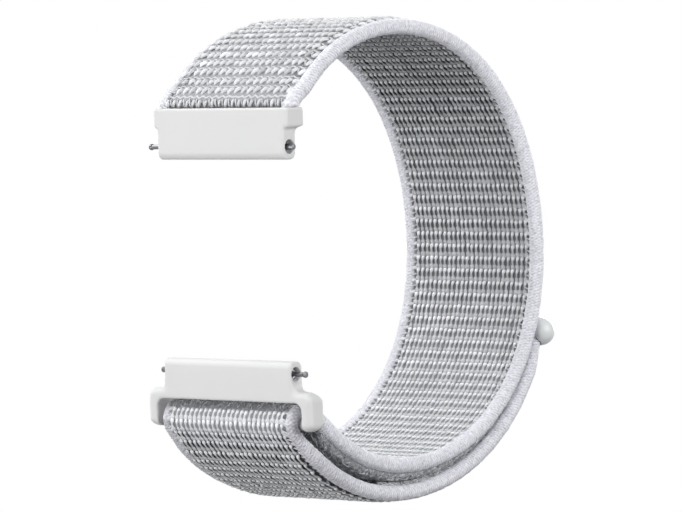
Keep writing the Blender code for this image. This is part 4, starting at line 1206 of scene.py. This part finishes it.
def across_tail(piece):
    """Bakes the piece's placement into its mesh and leaves it on no body; the split's point and heading are
    worked out but not used.
    """
    angle = np.array(TAIL_SPLIT)
    point, heading = ring_points(angle, tail_gap(angle))
    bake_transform(piece)


def ride_strap(piece):
    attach(piece, "strap")


def stretches():
    """Name, start, end and way of riding of each stretch of the band."""
    return (
        ("main", BAND.mouth - POCKET_RUN, BAND.fold_half, ride_strap, "main_band"),
        ("fold", BAND.fold_half, BAND.tail_piece, across_fold, "tail_root"),
        ("tail", BAND.tail_piece, BAND.tab_start + TAB_RUN, across_tail, "tail_end"),
    )


SIDES = ("near", 1), ("far", -1)
# Seeds of the random draws, each counted on by the number of the stretch but the last two
RIB_SEED, LOOP_SEED, CORD_SEED, LINK_SEED, STITCH_SEEDS, STRAND_SEED = 11, 21, 31, 71, (51, 61), 81
INNER_LINK_SEED, CREST_SEED = 74, 83
# No rib yarn starts from just before the crest until near its end, where the felt hides them
BARE_FROM, BARE_TO = -0.4 * MM, -0.3 * MM
RIB_GROUND_DEPTH, LOOP_GROUND_DEPTH = 0.30 * MM, 0.24 * MM
# Loose strands: how many to a point of their surface, half their length, and their radius
CREST_STRANDS, GAP_STRANDS = (0.17, 0.2 * MM, 0.035 * MM), (0.3, 0.5 * MM, 0.065 * MM)


class STRAP_OT_weave(bpy.types.Operator):
    """Weaves the ribbed face, the loop face and the ground of each stretch of the band"""

    bl_idname = "strap.weave"
    bl_label = "Woven Band"

    def execute(self, context):
        weave, colours = context.scene.strap_weave, context.scene.strap_colours
        rib = shared("satin_nylon_rib_yarn", yarn_material, colours.rib, 0.45, 0.25)
        weft = shared("satin_nylon_weft_cord", yarn_material, colours.weft, 0.6, 0.1)
        loop = shared("brushed_nylon_loop_yarn", yarn_material, colours.loop, 0.55, 0.35)
        # Painted shade: the ground is dark grey for the shade in the gaps between the rib yarns
        ground = shared("dense_nylon_ground_weave", cloth_material, colours.ground, 6000.0, 0.03 * MM, 0.9)
        # Painted shade: the backing is grey for the shade between the loops
        backing = shared("knitted_nylon_backing", cloth_material, colours.backing, 4000.0, 0.05 * MM, 0.85)
        # Painted shade: the pressed weave is grey for the shade in the slot
        felt = shared("pressed_nylon_weave", cloth_material, colours.felt, 4000.0, 0.10 * MM, 0.75)
        # Painted shade: the fleece takes the backing's grey for the shade in the gap under the tail
        fleece = shared("brushed_nylon_fleece", cloth_material, colours.backing, 3500.0, 0.15 * MM, 0.7)
        for number, (name, start, end, settle, prefix) in enumerate(stretches()):
            rows = rows_between(start, end, weave.row_pitch)
            seen = rows[rows > BAND.mouth]
            ribbed = rows[(rows < BAND.crest_start + BARE_FROM) | (rows > BAND.crest_end + BARE_TO)]
            stitches = joined(*(edge_stitches(seen, side, weave, seed + number)
                                for side, seed in zip((-1, 1), STITCH_SEEDS)))
            woven = [
                (woven_piece(name + "_rib_yarns", rib_yarns(ribbed, weave, RIB_SEED + number)), rib),
                (woven_piece(name + "_edge_stitches", stitches), rib),
                (ground_slab(name + "_rib_ground", start, end, -1, RIB_GROUND_DEPTH), ground),
                (ground_slab(name + "_loop_ground", start, end, 1, LOOP_GROUND_DEPTH), backing),
            ]
            if name == "tail":
                links = loop_links(seen, weave, INNER_LINK_SEED)
                woven.append((woven_piece("tail_inner_links", links), weft))
            else:
                for word, maker, seed, finish in (("_loop_yarns", loop_yarns, LOOP_SEED, loop),
                                                  ("_loop_links", loop_links, LINK_SEED, weft),
                                                  ("_valley_cords", valley_cords, CORD_SEED, weft)):
                    woven.append((woven_piece(name + word, maker(seen, weave, seed + number)), finish))
            if name == "main":
                strands = loose_strands(CREST_SEED, [crest_surface()[:, 8:-8]], *CREST_STRANDS)
                woven.append((crest_felt("main_crest_felt"), felt))
                woven.append((woven_piece("main_crest_strands", strands), weft))
            if name != "fold":
                stretch = (BAND.under_start, BAND.under_end, False) if name == "main" else (
                    BAND.tail_piece, BAND.tab_start - SQUEEZE_LENGTH, True)
                woven += [(gap_fleece(f"{name}_{word}_fleece", side, *stretch), fleece)
                          for word, side in SIDES]
                surfaces = [fleece_section(side, *stretch)[:, 3:-1] for side in (-1, 1)]
                strands = loose_strands(STRAND_SEED + number, surfaces, *GAP_STRANDS)
                woven.append((woven_piece(name + "_gap_strands", strands), weft))
            for piece, finish in woven:
                dress(piece, finish)
                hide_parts(prefix + "_weave")
                settle(piece)
        return {"FINISHED"}


class STRAP_OT_edges(bpy.types.Operator):
    """Rolls the two edges of each stretch of the band"""

    bl_idname = "strap.edges"
    bl_label = "Rolled Edges"

    def execute(self, context):
        weave, colours = context.scene.strap_weave, context.scene.strap_colours
        finish = shared("rolled_nylon_edge_yarn", cloth_material, colours.roll, 3500.0, 0.05 * MM, 0.86)
        for name, start, end, settle, prefix in stretches():
            for word, side in SIDES:
                roll = edge_roll(f"{name}_{word}_roll", side, start, end, weave.roll_pitch)
                dress(roll, finish)
                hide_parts(f"{prefix}_{word}_edge_roll")
                settle(roll)
        return {"FINISHED"}


# Hook tape: how far it starts and ends from the split and the tab, and how it lies off the line
TAPE_FROM, TAPE_TO, TAPE_PLAY = 0.3 * MM, -0.2 * MM, 0.05 * MM
# Hooks: pitch and margins along the tape, places across it in mm, and each hook's reach and size
HOOK_PITCH, HOOK_FROM, HOOK_TO, HOOKS_ACROSS = 1.1 * MM, 0.6 * MM, -0.5 * MM, (-7.4, 7.5, 0.8)
HOOK_REACH, HOOK_ASIDE, HOOK_HEIGHT = 0.22 * MM, 0.05 * MM, 0.20 * MM
HOOK_HALF_WIDTH, HOOK_HALF_THICKNESS = 0.08 * MM, 0.06 * MM


class STRAP_OT_hooks(bpy.types.Operator):
    """Lays the hook tape with its small hooks on the tail's inner face"""

    bl_idname = "strap.hooks"
    bl_label = "Hook Tape"

    def execute(self, context):
        colours = context.scene.strap_colours
        finish = shared("moulded_nylon_hook_tape", cloth_material, colours.hook, 3000.0, 0.02 * MM, 0.9)
        start, end = BAND.split + TAPE_FROM, BAND.tab_start - SQUEEZE_LENGTH + TAPE_TO
        near = HOOK_SIDE_FACE + TAPE_PLAY
        far = near + PATCH_THICKNESS
        corners = np.array(((1, near), (1, far), (-1, far), (-1, near)))
        section = stacked(np.linspace(start, end, 60)[:, None], corners[:, 0] * PATCH_HALF, corners[:, 1])
        tape = make_piece("hook_tape", *closed_run(BAND.place(section)))
        u = np.linspace(0, 1, 5)
        s0, x0 = pairs(np.arange(start + HOOK_FROM, end + HOOK_TO, HOOK_PITCH), np.arange(*HOOKS_ACROSS) * MM)
        path = stacked(s0 + HOOK_REACH * np.sin(pi * 0.9 * u), x0 + HOOK_ASIDE * u,
                       far + HOOK_HEIGHT * np.sin(pi * 0.75 * u))
        hooks = woven_piece("tape_hooks", yarns(path, HOOK_HALF_WIDTH, HOOK_HALF_THICKNESS, 5))
        for piece in (tape, hooks):
            dress(piece, finish)
            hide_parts("hook_patch")
            across_tail(piece)
        return {"FINISHED"}


# Grids of the moulded shapes: fine and coarse steps, where they lie along x with the stretches
# that need fine steps, and where they lie along y and z
FINE, COARSE, TAB_FINE, TAB_COARSE = 0.11 * MM, 0.6 * MM, 0.105 * MM, 0.5 * MM
UPPER_GRID = ((-10.8 * MM, -9.3 * MM), (-8.1 * MM, -4.9 * MM), (9.3 * MM, 10.8 * MM))
LOWER_GRID = ((-13.1 * MM, -9.4 * MM), (4.9 * MM, 8.1 * MM), (9.4 * MM, 13.1 * MM))
TAB_GRID = ((-11.6 * MM, -9.3 * MM), (9.3 * MM, 11.6 * MM))
DEPTHS, UPPER_HEIGHTS, LOWER_HEIGHTS = (-1.4 * MM, 2.4 * MM), (11.7 * MM, 18.6 * MM), (-20.9 * MM, -11.7 * MM)
TAB_SPAN = -2.2 * MM, 2.3 * MM


class STRAP_OT_connectors(bpy.types.Operator):
    """Moulds the two connectors that hold the spring bars"""

    bl_idname = "strap.connectors"
    bl_label = "Connectors"

    def execute(self, context):
        finish = shared("satin_moulded_plastic", plastic_material, context.scene.strap_colours.plastic,
                        0.55, 0.25 * MM, 0.004 * MM, 0.0)
        for name, field, node, body, grid, heights in (
                ("upper_moulded_connector", upper_field, "upper_connector", "strap",
                 UPPER_GRID, UPPER_HEIGHTS),
                ("lower_moulded_connector", lower_field, "lower_connector", "lower_connector_body",
                 LOWER_GRID, LOWER_HEIGHTS)):
            xs = uneven(grid[0][0], grid[-1][1], FINE, COARSE, grid)
            piece = surface_net(name, field, xs, np.arange(*DEPTHS, FINE), np.arange(*heights, FINE))
            dress(piece, finish)
            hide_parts(node)
            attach(piece, body)
        return {"FINISHED"}


class STRAP_OT_tab(bpy.types.Operator):
    """Moulds the round-ended tab on the tail's end"""

    bl_idname = "strap.tab"
    bl_label = "End Tab"

    def execute(self, context):
        finish = shared("glossy_moulded_tab", plastic_material, context.scene.strap_colours.tab,
                        0.22, 0.3 * MM, 0.003 * MM, 0.5)
        centre = tab_frame()[0]
        xs = uneven(TAB_GRID[0][0], TAB_GRID[-1][1], TAB_FINE, TAB_COARSE, TAB_GRID)
        span = np.arange(*TAB_SPAN, TAB_FINE)
        tab = surface_net("moulded_end_tab", tab_field, xs, centre[0] + span, centre[1] + span)
        dress(tab, finish)
        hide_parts("end_tab")
        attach(tab, "tail_end")
        return {"FINISHED"}


class STRAP_OT_bars(bpy.types.Operator):
    """Turns the two spring bars: tube, tips, release lever and spring"""

    bl_idname = "strap.bars"
    bl_label = "Spring Bars"

    def execute(self, context):
        colours = context.scene.strap_colours
        # Painted reflection: the turned steel is painted dark for the dark surroundings it would reflect
        finish = shared("turned_stainless_steel", steel_material, colours.steel)
        drawn = shared("drawn_stainless_tube", steel_material, colours.tube)
        bars = (("upper", BAR_HEIGHT, -1, UPPER_BAR_SHIFT, "strap", "upper_tip"),
                ("lower", -BAR_HEIGHT, 1, LOWER_BAR_SHIFT, "lower_connector_body", "lower_tip"))
        for name, height, side, shift, body, tip_body in bars:
            tube = bar_tube(name + "_tube", height, shift, side)
            sliding = turned(name + "_flanged_tip", SLIDING_TIP, height, shift, side)
            fixed = turned(name + "_plain_tip", FIXED_TIP, height, shift, -side)
            lever = lever_stud(name + "_lever_stud", height, shift, side)
            spring = coil(name + "_coil", height, shift, side)
            for piece, node, rides in ((tube, "bar_tube", body), (sliding, "sliding_tip", tip_body),
                                       (fixed, "fixed_tip", body), (lever, "release_lever", tip_body),
                                       (spring, "bar_spring", body)):
                dress(piece, drawn if piece is tube else finish)
                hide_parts(f"{name}_{node}")
                if piece is spring:
                    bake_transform(piece)
                else:
                    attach(piece, rides)
        return {"FINISHED"}


# The floor's outer and inner radius, thickness and sides, and where its paint starts and ends fading
FLOOR_RADIUS, FLOOR_HOLE, FLOOR_THICKNESS, FLOOR_SIDES, FLOOR_FADE = 0.24, 0.001, 0.001, 96, (0.07, 0.20)
LAMPS = (("key_lamp", (-0.30, -0.12, 0.40), 0.30, 2.1), ("front_lamp", (0.0, -0.50, -0.10), 0.36, 1.98),
         ("side_lamp", (0.43, 0.08, 0.16), 0.36, 1.58), ("back_lamp", (-0.12, 0.52, 0.12), 0.36, 1.7))
# The photograph's view: its turns round the strap, its distances in mm from the origin to its
# right, up and back, and its focal length and width in pixels
AZIMUTH, HEIGHT, ROLL = radians(38.855), radians(3.167), radians(-1.622)
VIEW_RIGHT, VIEW_UP, VIEW_BACK = 13.42, 0.43, 552.6
FOCAL_PIXELS, PHOTO_WIDTH, SENSOR_WIDTH = 4602, 682, 36


class STRAP_OT_stage(bpy.types.Operator):
    """Sets the floor, the lamps, the backdrop and the camera"""

    bl_idname = "strap.stage"
    bl_label = "Stage"

    def execute(self, context):
        scene, settings = context.scene, context.scene.strap_stage
        scene.view_settings.view_transform = "Standard"
        self.floor(settings)
        self.lamps(scene, settings)
        self.backdrop(scene)
        self.camera(scene)
        return {"FINISHED"}

    def floor(self, settings):
        """A pale disc whose rim fades out, so that no edge shows against the backdrop."""
        turn = full_turn(FLOOR_SIDES)
        section = ((FLOOR_HOLE, 0), (FLOOR_RADIUS, 0),
                   (FLOOR_RADIUS, -FLOOR_THICKNESS), (FLOOR_HOLE, -FLOOR_THICKNESS))
        rings = np.stack([stacked(r * np.cos(turn), r * np.sin(turn), z) for r, z in section])
        rings[..., 2] -= settings.floor_drop
        floor = make_piece("floor", *closed_run(rings))
        made, tree = new_material("matt_pale_floor")
        place = put(tree, "TexCoord").outputs["Object"]
        flat = put(tree, "Mapping", {"Vector": place, "Scale": (1, 1, 0)}).outputs["Vector"]
        length = put(tree, "VectorMath", {0: flat}, operation="LENGTH").outputs["Value"]
        share = spread(tree, length, 0.0, 1.0, *FLOOR_FADE, interpolation_type="SMOOTHSTEP")
        paint = put(tree, "BsdfPrincipled", {"Base Color": linear("#F2F2F2"), "Roughness": 0.9})
        clear = put(tree, "BsdfTransparent")
        mixed = put(tree, "MixShader", {0: share, 1: paint.outputs["BSDF"], 2: clear.outputs["BSDF"]})
        put(tree, "OutputMaterial", {"Surface": mixed.outputs["Shader"]})
        floor.data.materials.append(made)
        floor.visible_diffuse = False

    def lamps(self, scene, settings):
        """A soft key above, on the left, with weaker lamps in front, at the side and behind."""
        for name, place, size, power in LAMPS:
            data = bpy.data.lights.new(name, "AREA")
            data.size, data.energy = size, power * settings.level
            lamp = bpy.data.objects.new(name, data)
            lamp.location = place
            lamp.rotation_euler = (-Vector(place)).to_track_quat("-Z", "Y").to_euler()
            scene.collection.objects.link(lamp)

    def backdrop(self, scene):
        """White to the camera, to gloss and through glass; a softer grey as light."""
        world = bpy.data.worlds.new("pale_backdrop")
        world.use_nodes = True
        tree = world.node_tree
        tree.nodes.clear()
        path = put(tree, "LightPath").outputs
        seen = calc(tree, "MAXIMUM", path["Is Camera Ray"], path["Is Glossy Ray"])
        seen = calc(tree, "MAXIMUM", seen, path["Is Transmission Ray"])
        toward = put(tree, "TexCoord").outputs["Generated"]
        height = put(tree, "SeparateXYZ", {"Vector": toward}).outputs["Z"]
        level = spread(tree, height, 0.06, 0.14, -0.6, 0.8)
        dim = put(tree, "Background", {"Color": linear("#F4F6FA"), "Strength": level}).outputs["Background"]
        white = put(tree, "Background", {"Color": (1, 1, 1, 1), "Strength": 1.0}).outputs["Background"]
        mixed = put(tree, "MixShader", {0: seen, 1: dim, 2: white}).outputs["Shader"]
        put(tree, "OutputWorld", {"Surface": mixed})
        scene.world = world

    def camera(self, scene):
        """The photograph's view, from its azimuth, height and roll round the strap."""
        right = Vector((cos(AZIMUTH), sin(AZIMUTH), 0))
        back = Vector((sin(AZIMUTH) * cos(HEIGHT), -cos(AZIMUTH) * cos(HEIGHT), sin(HEIGHT)))
        up = back.cross(right)
        turned_right = cos(ROLL) * right + sin(ROLL) * up
        turned_up = -sin(ROLL) * right + cos(ROLL) * up
        data = bpy.data.cameras.new("photo_view")
        data.sensor_width, data.lens = SENSOR_WIDTH, FOCAL_PIXELS / PHOTO_WIDTH * SENSOR_WIDTH
        camera = bpy.data.objects.new("photo_view", data)
        spot = turned_right * VIEW_RIGHT * MM + turned_up * VIEW_UP * MM + back * VIEW_BACK * MM
        turn = Matrix((turned_right, turned_up, back)).transposed().to_4x4()
        camera.matrix_world = Matrix.Translation(spot) @ turn
        data.clip_start, data.clip_end = 0.01, 20
        scene.collection.objects.link(camera)
        scene.camera = camera


class STRAP_PT_panel(bpy.types.Panel):
    """Shows the strap's settings and the buttons that build its pieces in the sidebar"""

    bl_idname = "STRAP_PT_panel"
    bl_label = "Nylon Watch Strap"
    bl_space_type = "VIEW_3D"
    bl_region_type = "UI"
    bl_category = "Strap"

    def draw(self, context):
        layout = self.layout
        for group in (context.scene.strap_weave, context.scene.strap_colours, context.scene.strap_stage):
            box = layout.box()
            for setting in group.bl_rna.properties:
                if setting.identifier not in ("rna_type", "name"):
                    box.prop(group, setting.identifier)
        for operator in OPERATORS:
            layout.operator(operator.bl_idname)


OPERATORS = (STRAP_OT_connectors, STRAP_OT_bars, STRAP_OT_weave, STRAP_OT_edges, STRAP_OT_hooks,
             STRAP_OT_tab, STRAP_OT_stage)
CLASSES = (StrapWeave, StrapColours, StrapStage, *OPERATORS, STRAP_PT_panel)


def register():
    for each in CLASSES:
        bpy.utils.register_class(each)
    bpy.types.Scene.strap_weave = bpy.props.PointerProperty(type=StrapWeave)
    bpy.types.Scene.strap_colours = bpy.props.PointerProperty(type=StrapColours)
    bpy.types.Scene.strap_stage = bpy.props.PointerProperty(type=StrapStage)


def unregister():
    for name in ("strap_weave", "strap_colours", "strap_stage"):
        delattr(bpy.types.Scene, name)
    for each in reversed(CLASSES):
        bpy.utils.unregister_class(each)


def main():
    register()
    bpy.ops.strap.connectors()
    bpy.ops.strap.bars()
    bpy.ops.strap.weave()
    bpy.ops.strap.edges()
    bpy.ops.strap.hooks()
    bpy.ops.strap.tab()
    bpy.ops.strap.stage()


if __name__ == "__main__":
    main()
